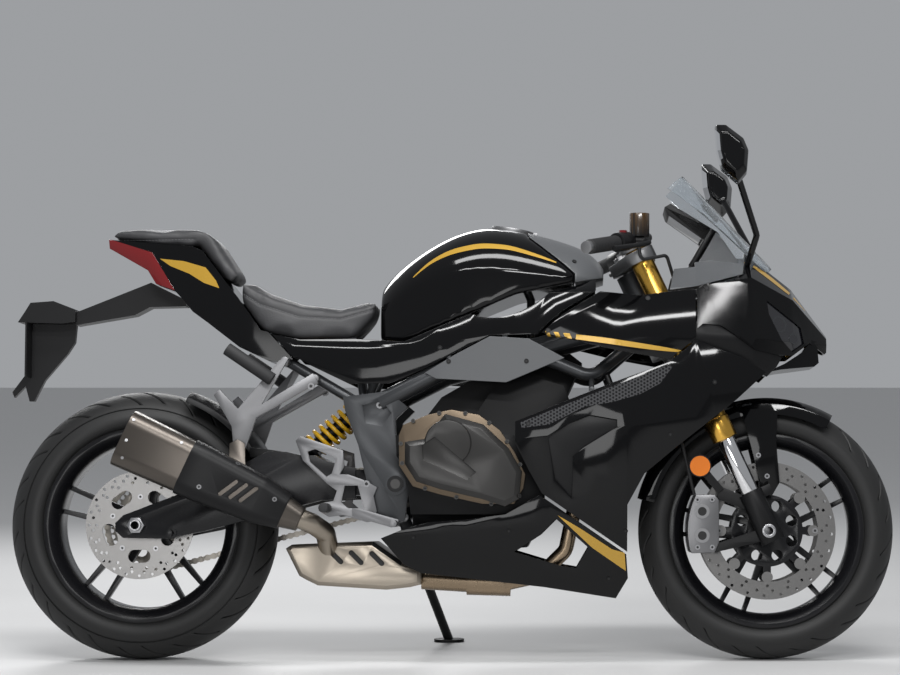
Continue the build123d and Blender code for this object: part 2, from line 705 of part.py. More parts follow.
with BuildPart() as swingarm:
    add(arms)
    add([brace, brace_top, middle])
    with BuildSketch(REAR_SIDE.offset(-ARM_OUTER - 20)):
        Circle(REAR_AXLE_RADIUS + FIT)
    extrude(amount=2 * ARM_OUTER + 40, mode=Mode.SUBTRACT)
    with BuildSketch(Plane(origin=spot(PIVOT_X, PLATE_OUTER, PIVOT_Z), x_dir=(1, 0, 0), z_dir=(0, -1, 0))):
        Circle(PIVOT_SHAFT + FIT)
    extrude(amount=2 * PLATE_OUTER, mode=Mode.SUBTRACT)
    for side in SIDES:
        with BuildSketch(REAR_SIDE.offset(side * ARM_OUTER)):
            with Locations((BOBBIN_X, -BOBBIN_DROP)):
                Circle(BOBBIN_RADIUS)
        extrude(amount=side * (BOBBIN_COLLAR + BOBBIN_LENGTH))
        with BuildSketch(REAR_SIDE.offset(side * ARM_OUTER)):
            with Locations((BOBBIN_X, -BOBBIN_DROP)):
                Circle(BOBBIN_RADIUS + 6)
        extrude(amount=side * BOBBIN_COLLAR)
finish(swingarm.part, "swingarm")

# Bodywork forms. Each row holds a station's x and the (half width, height) of its corners from the
# top down; a shell is the form less the same form drawn in by the panel's thickness.

UPPER_STATIONS = (
    (250, (56, 800), (96, 775), (118, 715), (122, 640)),
    (520, (60, 800), (112, 775), (136, 715), (140, 640)),
    (700, (95, 880), (145, 835), (163, 735), (168, 640)),
    (900, (110, 900), (160, 850), (182, 755), (180, 640)),
    (1100, (115, 905), (178, 850), (203, 745), (198, 620)),
    (1290, (110, 925), (186, 862), (212, 752), (196, 600)),
    (1420, (62, 942), (160, 885), (186, 745), (165, 600)),
    (1520, (40, 866), (105, 836), (128, 738), (98, 640)),
    (1604, (16, 756), (30, 750), (36, 735), (26, 718)),
)
LOWER_STATIONS = (
    (540, (150, 720), (172, 470), (160, 290), (100, 150)),
    (760, (170, 740), (195, 500), (172, 300), (104, 140)),
    (950, (190, 750), (214, 520), (182, 310), (104, 135)),
    (1130, (203, 760), (222, 540), (184, 330), (96, 128)),
    (1290, (212, 762), (216, 560), (188, 400), (140, 250)),
    (1460, (186, 755), (190, 580), (170, 430), (150, 300)),
)


def body_form(stations, inset):
    """Closed form through the stations, its walls and roof drawn in by the inset."""
    with BuildPart() as form:
        for x, *corners in stations:
            drawn_in = inset if x == stations[-1][0] else 0
            (roof_half, roof), *walls = [(half - inset, z + lift(x)) for half, z in corners]
            right = [(roof_half, roof - inset), *walls]
            with BuildSketch(Plane.YZ.offset(along(x) - drawn_in)):
                with BuildLine():
                    Polyline(*right, *[(-half, z) for half, z in reversed(right)], close=True)
                make_face()
        loft(ruled=True)
    return form.part


upper_outer = body_form(UPPER_STATIONS, 0)
upper_inner = body_form(UPPER_STATIONS, PANEL)
upper_deep = body_form(UPPER_STATIONS, 2 * PANEL)
upper_behind = body_form(UPPER_STATIONS, PANEL + FIT)
lower_outer = body_form(LOWER_STATIONS, 0)
lower_inner = body_form(LOWER_STATIONS, PANEL)
lower_deep = body_form(LOWER_STATIONS, 2 * PANEL)
lower_behind = body_form(LOWER_STATIONS, PANEL + FIT)
REACH = 260  # half width that any side cut reaches


def panel(outline, outer, inner, windows=()):
    """Right-hand piece of a shell inside a side-view outline, with windows cut through."""
    cutter = side_prism(outline, -20, -REACH)
    openings = [side_prism(window, -20, -REACH) for window in windows]
    with BuildPart() as piece:
        add(cutter)
        add(outer, mode=Mode.INTERSECT)
        add(inner, mode=Mode.SUBTRACT)
        if openings:
            add(openings, mode=Mode.SUBTRACT)
    return piece.part


def panel_stays(rows, form):
    """Stays from the left-hand rows and their mirror images, each ending on the form's face."""
    stays = []
    for start, end in rows:
        for side in SIDES:
            bar = rod(*sided([start, end], side), 6)
            with BuildPart() as stay:
                add(bar)
                add(form, mode=Mode.INTERSECT)
            stays.append(stay.part)
    return stays


# Fuel tank with the grey cover over its front

TANK_STATIONS = (  # x, half width, height of the shoulder, height of the crown
    (556, 78, 800, 866),
    (610, 112, 850, 922),
    (690, 140, 885, 975),
    (820, 165, 900, 1011),
    (950, 165, 890, 986),
    (1020, 150, 885, 962),
    (1078, 118, 875, 912),
)
TANK_FLOOR = 730
TANK_EDGE = [(500, 741), (617, 739), (876, 847), (1072, 887), (1120, 892)]
COVER_LINE = [(893, 1030), (905, 985), (985, 920), (1012, 895), (1012, 860)]
with BuildPart() as tank_form:
    for x, half, shoulder, crown in TANK_STATIONS:
        bow = (half * 0.72, shoulder + 0.68 * (crown - shoulder))
        with BuildSketch(Plane(origin=spot(x, 0, 0), x_dir=(0, 1, 0), z_dir=(1, 0, 0))):
            with BuildLine():
                Polyline((-half, shoulder), (-half, TANK_FLOOR), (half, TANK_FLOOR), (half, shoulder))
                ThreePointArc((half, shoulder), bow, (0, crown))
                ThreePointArc((0, crown), (-bow[0], bow[1]), (-half, shoulder))
            make_face()
    loft()
tank_under = side_prism(TANK_EDGE + [(1120, 700), (500, 700)], REACH, -REACH)
tank_front = side_prism(COVER_LINE + [(1120, 860), (1120, 1030)], REACH, -REACH)
cover_back = [(x - SEAM, z) for x, z in COVER_LINE]
tank_front_gap = side_prism(cover_back + [(1120, 860), (1120, 1030)], REACH, -REACH)
CAP_TILT = radians(9)
CAP = Plane(
    origin=spot(862, 0, 1003),
    x_dir=(cos(CAP_TILT), 0, -sin(CAP_TILT)),
    z_dir=(sin(CAP_TILT), 0, cos(CAP_TILT)),
)
FILLER_RADIUS = 62
FILLER_SINK = 24
FILLER_BORE = 24
FILLER_DEPTH = 20
with BuildPart() as fuel_tank:
    add(tank_form.part)
    add(tank_under, mode=Mode.SUBTRACT)
    add(tank_front_gap, mode=Mode.SUBTRACT)
    with BuildSketch(CAP.offset(-FILLER_SINK)):
        Circle(FILLER_RADIUS + FIT)
    extrude(amount=60, mode=Mode.SUBTRACT)
finish(fuel_tank.part, "fuel_tank")
with BuildPart() as tank_cover:
    add(tank_form.part)
    add(tank_under, mode=Mode.SUBTRACT)
    add(tank_front, mode=Mode.INTERSECT)
    with BuildSketch(CAP.offset(-FILLER_SINK)):
        Circle(FILLER_RADIUS + 2)
    extrude(amount=60, mode=Mode.SUBTRACT)
finish(tank_cover.part, "tank_cover")

# Filler ring and its hinged cap: the hinge lies ahead of the cap, with a pin between two eyes of the ring
CAP_RADIUS = 50
CAP_THICKNESS = 9
CAP_GAP = 0.5
HINGE_X = CAP_RADIUS + 6
HINGE_RADIUS = 4.5
HINGE_Z = CAP_GAP + HINGE_RADIUS
HINGE_PIN = 2
EYE_ROWS = ((-7.5, -13), (7.5, 13))  # from, to across the bike
hinge_middle = CAP.from_local_coords(Vector(HINGE_X, 0, HINGE_Z))


def hinge_plane(y):
    """Plane across the hinge at a distance from the middle, facing left."""
    return Plane(origin=hinge_middle + Vector(0, y, 0), x_dir=CAP.x_dir, z_dir=(0, 1, 0))


with BuildPart() as fuel_filler:
    with BuildSketch(CAP.offset(-FILLER_SINK)):
        Circle(FILLER_RADIUS)
    extrude(amount=FILLER_SINK)
    with BuildSketch(CAP.offset(-FILLER_DEPTH)):
        Circle(FILLER_BORE)
    extrude(amount=FILLER_DEPTH, mode=Mode.SUBTRACT)
    for start, end in EYE_ROWS:
        with BuildSketch(hinge_plane(start)):
            Circle(HINGE_RADIUS)
            with Locations((0, HINGE_Z / 2)):
                Rectangle(2 * HINGE_RADIUS, HINGE_Z)
        extrude(amount=end - start)
    with BuildSketch(hinge_plane(EYE_ROWS[0][1])):
        Circle(HINGE_PIN)
    extrude(amount=EYE_ROWS[1][1] - EYE_ROWS[0][1])
finish(fuel_filler.part, "fuel_filler")
with BuildPart() as fuel_cap:
    with BuildSketch(CAP.offset(CAP_GAP)):
        Circle(CAP_RADIUS)
        with Locations((CAP_RADIUS - 2, 0)):
            Rectangle(16, 14)
    extrude(amount=CAP_THICKNESS)
    with BuildSketch(hinge_plane(-7)):
        Circle(HINGE_RADIUS)
    extrude(amount=14)
    with BuildSketch(hinge_plane(-7)):
        Circle(HINGE_PIN + FIT)
    extrude(amount=14, mode=Mode.SUBTRACT)
finish(fuel_cap.part, "fuel_cap")

# Seats and tail


def soft_block(outline, stations):
    """Pad with a side outline and a plan outline."""
    block = side_prism(outline, REACH, -REACH)
    plan = plan_prism(stations, 600, 1100)
    with BuildPart() as pad:
        add(block)
        add(plan, mode=Mode.INTERSECT)
    return pad.part


RIDER_SEAT = [
    (233, 887), (296, 851), (371, 825), (464, 813), (522, 830), (548, 841), (553, 835), (543, 802),
    (500, 750), (371, 748), (283, 767), (231, 837),
]
RIDER_PLAN = [(225, 100), (300, 122), (420, 126), (500, 104), (560, 78)]
BACK_PAD = [(119, 987), (148, 998), (164, 987), (228, 890), (205, 872), (141, 956)]
BACK_PLAN = [(100, 92), (240, 100)]
PILLION_SEAT = [
    (-88, 988), (-73, 1003), (-6, 1006), (111, 1002), (134, 1000), (116, 964), (67, 968), (-84, 984.2),
]
PILLION_PLAN = [(-95, 52), (0, 82), (140, 98)]
finish(soft_block(RIDER_SEAT, RIDER_PLAN), "rider_seat")
pillion_pads = [soft_block(PILLION_SEAT, PILLION_PLAN), soft_block(BACK_PAD, BACK_PLAN)]
with BuildPart() as pillion_seat:
    add(pillion_pads)
finish(pillion_seat.part, "pillion_seat")

TAIL_OUTLINE = [
    (-88, 984), (67, 967.7), (116, 963.7), (140, 953), (203, 871), (228, 840), (281, 765), (298, 761),
    (356, 698), (343, 686), (298, 695), (231, 726), (155, 784), (119, 810), (92, 842), (74, 861), (29, 877),
    (9, 909), (-86, 963),
]
TAIL_PLAN = [(-95, 46), (10, 76), (140, 106), (240, 122), (400, 128)]
TAIL_LIGHT = [(-100, 990), (19, 951), (74, 862), (70, 840), (20, 860), (-100, 950)]
tail_block = side_prism(TAIL_OUTLINE, REACH, -REACH)
tail_plan = plan_prism(TAIL_PLAN, 600, 1100)
light_block = side_prism(TAIL_LIGHT, REACH, -REACH)
with BuildPart() as tail_form:
    add(tail_block)
    add(tail_plan, mode=Mode.INTERSECT)
with BuildPart() as tail_light:
    add(tail_form.part)
    add(light_block, mode=Mode.INTERSECT)
finish(tail_light.part, "tail_light")

HANGER_ARM = [(10, 884), (98, 840), (92, 828), (8, 826), (-28, 807), (-167, 783), (-170, 812)]
HANGER_COVER = [
    (-300, 789), (-285, 812), (-271, 835), (-217, 839), (-165, 819), (-165, 790), (-194, 786), (-275, 788),
]
HANGER_BLADE = [
    (-271, 790), (-275, 743), (-278, 680), (-318, 626), (-313, 613), (-287, 640), (-277, 604), (-266, 604),
    (-242, 653), (-189, 716), (-172, 743), (-168, 790),
]
PLATE_WIDTH = 150
PLATE_BACK = -277
PLATE_HOLE_RADIUS = 3.2
PLATE_HOLE_SPREAD = 110
PLATE_HOLE_Z = 735
PLATE_HOLE_HEIGHT = PLATE_HOLE_Z + lift(PLATE_BACK)
PLATE_BRACKET = [(PLATE_BACK, 660), (PLATE_BACK, 788), (PLATE_BACK + 4, 788), (PLATE_BACK + 4, 660)]
hanger_solids = [
    side_prism(HANGER_ARM, 30, -30),
    side_prism(HANGER_COVER, 48, -48),
    side_prism(HANGER_BLADE, 10, -10),
    side_prism(PLATE_BRACKET, PLATE_WIDTH / 2, -PLATE_WIDTH / 2),
]
with BuildPart() as plate_hanger:
    add(hanger_solids)
    add(tail_form.part, mode=Mode.SUBTRACT)
    with BuildSketch(Plane.YZ.offset(PLATE_BACK - 10)):
        with Locations(
            (-PLATE_HOLE_SPREAD / 2, PLATE_HOLE_HEIGHT),
            (PLATE_HOLE_SPREAD / 2, PLATE_HOLE_HEIGHT),
        ):
            Circle(PLATE_HOLE_RADIUS)
    extrude(amount=20, mode=Mode.SUBTRACT)
finish(plate_hanger.part, "plate_hanger")

# Painted panels

NOSE = [
    (1293, 858), (1401, 890), (1412, 950), (1640, 950), (1640, 690), (1560, 737), (1518, 706), (1484, 706),
    (1426, 717), (1386, 746), (1346, 772), (1306, 775), (1293, 764),
]
CHANNEL_BACK = [
    (1280, 728), (1280, 770), (1300, 786), (1350, 784), (1400, 752), (1436, 728), (1470, 716), (1492, 700),
    (1480, 680), (1455, 655), (1400, 690), (1296, 732),
]
CHIN = [
    (1452, 666), (1500, 688), (1540, 714), (1557, 733), (1566, 745), (1580, 728), (1583, 692), (1572, 683),
    (1490, 674),
]
CHIN_PLAN = [(1440, 120), (1520, 100), (1590, 62)]
HEADLIGHT = [(1457, 832), (1538, 772), (1546, 735), (1517, 714), (1491, 741), (1461, 801)]
HEADLIGHT_BACK = [(1446, 846), (1548, 786), (1554, 739), (1518, 710), (1482, 735), (1450, 800)]
UPPER_SIDE = [
    (934, 756), (985, 800), (1070, 852), (1162, 842), (1290, 858), (1290, 742), (1229, 692), (1100, 716),
]
COVER_BAND = [
    (303, 758), (371, 744), (500, 745), (617, 737), (876, 845), (1060, 882), (1060, 854), (978, 804),
    (928, 760), (926, 752), (813, 750), (664, 674), (604, 648), (543, 626), (496, 638), (372, 697),
    (360, 699),
]
SIDE_COVER = [(664, 664), (735, 706), (815, 748), (905, 742), (988, 697), (854, 641), (691, 650)]
SIDE_FAIRING = [
    (875, 550), (1000, 601), (1100, 640), (1227, 686), (1291, 737), (1398, 697), (1452, 664), (1382, 600),
    (1248, 495), (1171, 431), (1132, 360), (1132, 252), (936, 386), (905, 440), (875, 500),
]
VENT = [
    (950, 512), (998, 546), (1045, 565), (1108, 554), (1108, 537), (1032, 491), (1007, 470), (1007, 423),
    (1004, 375), (965, 419),
]
VENT_BACK = [
    (936, 515), (992, 560), (1045, 580), (1122, 566), (1122, 532), (1046, 482), (1022, 462), (1022, 400),
    (1000, 362), (950, 415),
]
BELLY = [
    (565, 283), (620, 305), (676, 320), (760, 326), (851, 338), (930, 382), (1130, 246), (1134, 191),
    (1106, 144), (943, 170), (655, 203), (616, 223),
]
BELLY_WINDOW = [(872, 252), (930, 290), (968, 328), (1042, 262), (1014, 214), (979, 220)]
DECK = [(1230, 854), (1293, 863), (1401, 894), (1412, 950), (1340, 960), (1250, 940)]

upper_side = panel(UPPER_SIDE, upper_outer, upper_inner)
cover_band = panel(COVER_BAND, upper_outer, upper_inner)
with BuildPart() as cover_band_clear:
    add(cover_band)
    add(tank_form.part, mode=Mode.SUBTRACT)
upper_panel_solids = both_sides(upper_side) + both_sides(cover_band_clear.part)
with BuildPart() as upper_panels:
    add(upper_panel_solids)
finish(upper_panels.part, "upper_panels")

nose_cut = side_prism(NOSE, REACH, -REACH)
chin_block = side_prism(CHIN, REACH, -REACH)
chin_plan = plan_prism(CHIN_PLAN, 600, 800)
with BuildPart() as chin:
    add(chin_block)
    add(chin_plan, mode=Mode.INTERSECT)
lamp_openings = both_sides(side_prism(HEADLIGHT, -20, -REACH))
with BuildPart() as nose_cowl:
    add(nose_cut)
    add(upper_outer, mode=Mode.INTERSECT)
    add(upper_inner, mode=Mode.SUBTRACT)
    add(lamp_openings, mode=Mode.SUBTRACT)
    add(chin.part)
finish(nose_cowl.part, "nose_cowl")
lamp_pair = both_sides(panel(HEADLIGHT_BACK, upper_behind, upper_deep))
with BuildPart() as headlights:
    add(lamp_pair)
finish(headlights.part, "headlights")

deck = panel(DECK, upper_outer, upper_inner)
DECK_OPENING = [(1200, 126), (1291, 124), (1291.5, 90), (1420, 70)]  # wide where the fork turns
DECK_SIDE = [(1293, 912), (1344, 1000), (1404, 912)]
DECK_SIDE_Y = 95
deck_open = plan_prism(DECK_OPENING, 800, 1000)
deck_wing = side_prism(DECK_SIDE, -DECK_SIDE_Y + 3, -DECK_SIDE_Y)
with BuildPart() as deck_right:
    add(deck)
    add(deck_open, mode=Mode.SUBTRACT)
    add(deck_wing)
deck_pair = both_sides(deck_right.part)
with BuildPart() as cockpit_deck:
    add(deck_pair)
finish(cockpit_deck.part, "cockpit_deck")

side_covers_pair = both_sides(panel(SIDE_COVER, upper_outer, upper_inner))
with BuildPart() as side_covers:
    add(side_covers_pair)
finish(side_covers.part, "side_covers")

fairing_solids = both_sides(panel(SIDE_FAIRING, lower_outer, lower_inner, [VENT]))
belly_right = panel(BELLY, lower_outer, lower_inner, [BELLY_WINDOW])
stand_notch = side_prism([(540, 180), (540, 300), (745, 345), (745, 180)], -20, -REACH)
with BuildPart() as belly_short:
    add(belly_right)
    add(stand_notch, mode=Mode.SUBTRACT)
belly_left = mirror(belly_short.part, about=Plane.XZ)
with BuildPart() as side_fairings:
    add(fairing_solids)
finish(side_fairings.part, "side_fairings")
with BuildPart() as belly_pans:
    add([belly_right, belly_left])
finish(belly_pans.part, "belly_pans")
vent_pair = both_sides(panel(VENT_BACK, lower_behind, lower_deep))
vent_pair += both_sides(panel(CHANNEL_BACK, upper_behind, upper_deep))
with BuildPart() as vent_inserts:
    add(vent_pair)
finish(vent_inserts.part, "vent_inserts")

# Windscreen: crescent sections up a slope

SCREEN_BASE = Vector(*spot(1478, 0, 918))
SCREEN_TOP = Vector(*spot(1268, 0, 1140))
SCREEN_WALL = 3.5
# distance up, half width, depth
SCREEN_SECTIONS = ((0, 66, 22), (90, 118, 34), (210, 122, 43), (305, 84, 55))
screen_step = (SCREEN_TOP - SCREEN_BASE).normalized()
with BuildPart() as screen_form:
    for distance, half, depth in SCREEN_SECTIONS:
        with BuildSketch(
            Plane(origin=SCREEN_BASE + screen_step * distance, x_dir=(0, 1, 0), z_dir=-screen_step)
        ):
            with BuildLine():
                ThreePointArc((-half, -depth), (0, 0), (half, -depth))
                Line((half, -depth), (half - SCREEN_WALL, -depth))
                ThreePointArc((half - SCREEN_WALL, -depth), (0, -SCREEN_WALL), (-half + SCREEN_WALL, -depth))
                Line((-half + SCREEN_WALL, -depth), (-half, -depth))
            make_face()
    loft()
with BuildPart() as windscreen:
    add(screen_form.part)
    add(upper_outer, mode=Mode.SUBTRACT)
finish(windscreen.part, "windscreen")

# Instrument panel and the stay that carries it, the nose and the mirrors

PANEL_OUTLINE = [(1222, 1058), (1236, 1066), (1344, 1000), (1352, 984), (1330, 968), (1228, 1040)]
PANEL_HALF = 82
PANEL_STRUT = [(1335, PANEL_HALF - 2, 1005), (1284, PANEL_HALF - 2, 917)]
panel_block = side_prism(PANEL_OUTLINE, PANEL_HALF, -PANEL_HALF)
panel_struts = [rod(*sided(PANEL_STRUT, side), 8) for side in SIDES]
with BuildPart() as instrument_panel:
    add(panel_block)
    add(panel_struts)
finish(instrument_panel.part, "instrument_panel")

stay_rods = []
for side in SIDES:
    stay_rods.append(rod(*sided([(1223, 14, 806), (1330, 14, 882)], side), 8))
    stay_rods.append(rod(*sided([(1330, 10, 882), (1412, 142, 926)], side), 8))
    stay_rods.append(rod(*sided([(1330, 14, 882), (1352, 240, 800)], side), 7))
    stay_rods.append(rod(*sided([(1330, 14, 882), (1312, 50, 990)], side), 7))

# Mirrors

MIRROR_OUTLINE = [(-39, 68), (-16, 68), (26, 36), (38, 7), (34, -43), (13, -68), (-25, -35), (-35, 7)]
MIRROR_SECTIONS = ((286, 0.62), (340, 1.0), (384, 0.94), (404, 0.66))  # y, size of the outline there
MIRROR_MIDDLE = (1366, 1146)
MIRROR_STALK = [(1410, 96, 905), (1434, 150, 984), (1376, 302, 1124)]
with BuildPart() as mirror_form:
    for y, size in MIRROR_SECTIONS:
        with BuildSketch(
            Plane(origin=spot(MIRROR_MIDDLE[0], y, MIRROR_MIDDLE[1]), x_dir=(1, 0, 0), z_dir=(0, -1, 0))
        ):
            with BuildLine():
                Polyline(*[(size * x, size * z) for x, z in MIRROR_OUTLINE], close=True)
            make_face()
    loft(ruled=True)
mirror_stalk = bent_tube(sided(MIRROR_STALK, 1), 8, 20)
with BuildPart() as mirror_left:
    add(mirror_form.part)
    add(mirror_stalk)
mirror_pair = both_sides(mirror_left.part)
with BuildPart() as mirrors:
    add(mirror_pair)
    add(upper_outer, mode=Mode.SUBTRACT)
finish(mirrors.part, "mirrors")

# Engine: crankcase, gearbox, mounting lugs, cylinders and head in one block, covers bolted on

CASE_HALF = 165
CASE = [(706, 520), (880, 520), (935, 450), (940, 338), (706, 338)]
SUMP_HALF = 128
SUMP = [(706, 340), (940, 340), (900, 262), (706, 250)]
GEARBOX_TOP = [(628, 430), (660, 500), (706, 520), (706, 338), (634, 338), (628, 385)]
GEARBOX_LOW = [(634, 340), (706, 340), (706, 250), (640, 290)]
CYLINDERS = [(745, 515), (905, 470), (1000, 600), (985, 636), (880, 668), (835, 650)]
AIRBOX = [(700, 515), (650, 545), (700, 610), (800, 668), (1000, 712), (1028, 690), (985, 600), (905, 470)]
AIRBOX_HALF = 92
LUG = [(597.7, 520), (599.6, 478), (720, 470), (720, 515)]
CLUTCH_COVER = [
    (623, 453), (623, 503), (668, 510), (685, 530), (715, 567), (802, 543), (859, 490), (890, 436),
    (884, 373), (852, 356), (799, 373), (702, 396), (649, 413),
]
CLUTCH_FACE = 228
BELLY_STAYS = (
    ((760, 110, 285), (760, 240, 280)),
    ((890, 110, 300), (890, 240, 290)),
)
belly_stays = panel_stays(BELLY_STAYS, lower_behind)
engine_solids = [
    side_prism(CASE, CASE_HALF, -CASE_HALF),
    side_prism(SUMP, SUMP_HALF, -SUMP_HALF),
    side_prism(GEARBOX_TOP, 90, -CASE_HALF),
    side_prism(GEARBOX_LOW, 90, -SUMP_HALF),
    side_prism(CYLINDERS, 125, -125),
    side_prism(AIRBOX, AIRBOX_HALF, -AIRBOX_HALF),
    side_prism(LUG, PLATE_OUTER, PLATE_INNER),
    side_prism(LUG, -PLATE_INNER, -PLATE_OUTER),
]
with BuildPart() as engine:
    with BuildSketch(
        Plane(origin=(FRONT_SPROCKET_X, CHAIN_Y - 4, SPROCKET_Z), x_dir=(1, 0, 0), z_dir=(0, 1, 0))
    ):
        Circle(FRONT_PITCH_RADIUS - CHAIN_HEIGHT / 2 + 2 - FIT)
    extrude(amount=8)
    with BuildSketch(Plane(origin=(FRONT_SPROCKET_X, 80, SPROCKET_Z), x_dir=(1, 0, 0), z_dir=(0, 1, 0))):
        Circle(13)
    extrude(amount=CHAIN_Y - 80)
    add(engine_solids)
    add(belly_stays)
finish(engine.part, "engine")

CLUTCH_FLANGE = [
    (608, 450), (607, 519), (617, 543), (673, 566), (728, 578), (791, 566), (839, 531), (874, 479),
    (898, 429), (893, 398), (872, 362), (799, 362), (700, 384), (640, 402),
]
FLANGE_FACE = 186
CLUTCH_POCKET = [(663, 495), (692, 514), (786, 434), (766, 416), (666, 462)]
POCKET_DEPTH = 4
CLUTCH_DOME = (722, 500)
DOME_RADIUS = 54
DOME_RISE = 5
with BuildPart() as alternator_cover:
    with BuildSketch(Plane(origin=spot(788, CASE_HALF, 425), x_dir=(1, 0, 0), z_dir=(0, 1, 0))):
        Circle(76)
    extrude(amount=44)
    fillet(alternator_cover.faces().sort_by(Axis.Y)[-1].edges(), 12)
clutch_block = side_prism(CLUTCH_COVER, -CASE_HALF, -CLUTCH_FACE)
clutch_flange = side_prism(CLUTCH_FLANGE, -CASE_HALF, -FLANGE_FACE)
clutch_pocket = side_prism(CLUTCH_POCKET, -CLUTCH_FACE + POCKET_DEPTH, -CLUTCH_FACE - DOME_RISE - 1)
with BuildPart() as clutch_cover:
    add(clutch_block)
    chamfer(clutch_cover.faces().sort_by(Axis.Y)[0].edges(), 12)
    with BuildSketch(
        Plane(origin=spot(CLUTCH_DOME[0], -CLUTCH_FACE, CLUTCH_DOME[1]), x_dir=(1, 0, 0), z_dir=(0, -1, 0))
    ):
        Circle(DOME_RADIUS)
    extrude(amount=DOME_RISE, taper=30)
    add(clutch_pocket, mode=Mode.SUBTRACT)
    add(clutch_flange)
SPROCKET_COVER = [(632, 464), (706, 466), (706, 344), (640, 350)]
cover_solids = [
    clutch_cover.part,
    alternator_cover.part,
    side_prism(SPROCKET_COVER, PLATE_OUTER, CHAIN_Y + 14),
]
with BuildPart() as engine_covers:
    add(cover_solids)
    add(pivot_plates, mode=Mode.SUBTRACT)
finish(engine_covers.part, "engine_covers")

# Exhaust: four headers, collector, chamber with the link pipe, silencer and its heat shield

HEADER_RADIUS = 17
PORTS = (118, 42, -42, -118)
COLLECTOR_Y = -62
header_solids = []
for port in PORTS:
    low = COLLECTOR_Y + 0.28 * (port - COLLECTOR_Y)
    route = [
        (940, port, 552), (1010, port, 505), (1020, port, 400), (990, 0.85 * port - 8, 255),
        (930, (low + port) / 2, 196), (850, low, 178),
    ]
    header_solids.append(bent_tube(sided(route, 1), HEADER_RADIUS, 38))
header_solids.append(rod(spot(862, COLLECTOR_Y, 178), spot(760, COLLECTOR_Y, 181), 30))
header_solids.append(rod(spot(770, COLLECTOR_Y, 181), spot(655, COLLECTOR_Y, 188), 24))
with BuildPart() as exhaust_headers:
    add(header_solids)
    add(engine.part, mode=Mode.SUBTRACT)
finish(exhaust_headers.part, "exhaust_headers")

CHAMBER = [
    (341, 259), (355, 268), (544, 275), (612, 228), (655, 214), (655, 176), (630, 170), (576, 164),
    (416, 174), (391, 186), (373, 196),
]
CHAMBER_FACE = 112
CHAMBER_SLOTS = ((458, 240), (505, 238), (553, 236))
SLOT_DEPTH = 5
chamber_block = side_prism(CHAMBER, 80, -CHAMBER_FACE)
LINK_RADIUS = 23
LINK = [(440, -94, 258), (436, -140, 296), (408, -182, 318), (372, -204, 332.5)]
link = bent_tube(sided(LINK, 1), LINK_RADIUS, 26)

SILENCER_Y = -206
SILENCER_FRONT = Vector(*spot(386, SILENCER_Y, 326))
SILENCER_REAR = Vector(*spot(-25, SILENCER_Y, 515))
SILENCER_SECTIONS = ((0, 56, 56, 24), (105, 88, 102, 30), (250, 104, 122, 34), (446, 108, 134, 36))
SHIELD_SECTIONS = ((40, 68, 73.5, 26), (105, 88, 102, 30), (250, 104, 122, 34), (288, 104.8, 124.3, 34))
SHIELD_WALL = 4
SHIELD_SLOTS = ((128, 4), (152, 1), (176, -2))  # distance up the silencer, height above its middle
SHIELD_SLOT_TILT = 62
silencer_step = (SILENCER_REAR - SILENCER_FRONT).normalized()


def silencer_form(sections, grow):
    with BuildPart() as form:
        for distance, width, height, corner in sections:
            with BuildSketch(
                Plane(origin=SILENCER_FRONT + silencer_step * distance, x_dir=(0, 1, 0), z_dir=silencer_step)
            ):
                RectangleRounded(width + 2 * grow, height + 2 * grow, corner)
        loft(ruled=True)
    return form.part


silencer_body = silencer_form(SILENCER_SECTIONS, 0)
HANGER_TAB = [(216, 440), (256, 440), (254, 500), (236, 510), (218, 500)]
silencer_tab = side_prism(HANGER_TAB, -178, -184)
with BuildPart() as silencer:
    add(silencer_body)
    add(silencer_tab)
    with BuildSketch(Plane(origin=SILENCER_REAR, x_dir=(0, 1, 0), z_dir=silencer_step)):
        Circle(24)
    extrude(amount=-40, mode=Mode.SUBTRACT)
finish(silencer.part, "silencer")
shield_outer = silencer_form(SHIELD_SECTIONS, SHIELD_WALL)
shield_inner = silencer_form(SILENCER_SECTIONS, FIT)
shield_half = side_prism([(60, 250), (60, 640), (420, 640), (420, 250)], -190, -300)
with BuildPart() as silencer_shield:
    add(shield_outer)
    add(shield_inner, mode=Mode.SUBTRACT)
    add(shield_half, mode=Mode.INTERSECT)
    with BuildSketch(Plane(origin=SILENCER_FRONT - Vector(0, 100, 0), x_dir=silencer_step, z_dir=(0, 1, 0))):
        with Locations(*SHIELD_SLOTS):
            SlotOverall(54, 9, rotation=-SHIELD_SLOT_TILT)
    extrude(amount=80, mode=Mode.SUBTRACT)
finish(silencer_shield.part, "silencer_shield")
with BuildPart() as exhaust_chamber:
    add(chamber_block)
    chamfer(exhaust_chamber.faces().sort_by(Axis.Y)[0].edges(), 9)
    with BuildSketch(Plane(origin=spot(0, -CHAMBER_FACE, 0), x_dir=(1, 0, 0), z_dir=(0, -1, 0))):
        with Locations(*CHAMBER_SLOTS):
            SlotOverall(44, 12, rotation=-45)
    extrude(amount=-SLOT_DEPTH, mode=Mode.SUBTRACT)
    add(link)
    add(silencer_body, mode=Mode.SUBTRACT)
    add(exhaust_headers.part, mode=Mode.SUBTRACT)
finish(exhaust_chamber.part, "exhaust_chamber")

# Stays that hold the panels: each ends on the inner face of its panel

UPPER_STAYS = (
    ((1000, 100, 746), (1000, 240, 762)),
    ((1080, 100, 768), (1120, 240, 800)),
    ((720, 130, 674), (720, 200, 745)),
    ((850, 125, 706), (850, 220, 790)),
    ((790, 130, 692), (790, 220, 700)),
    ((920, 120, 725), (920, 220, 722)),
)
LOWER_STAYS = (
    ((1050, 120, 652), (1050, 240, 612)),
)
stay_solids = panel_stays(UPPER_STAYS, upper_behind) + panel_stays(LOWER_STAYS, lower_behind)

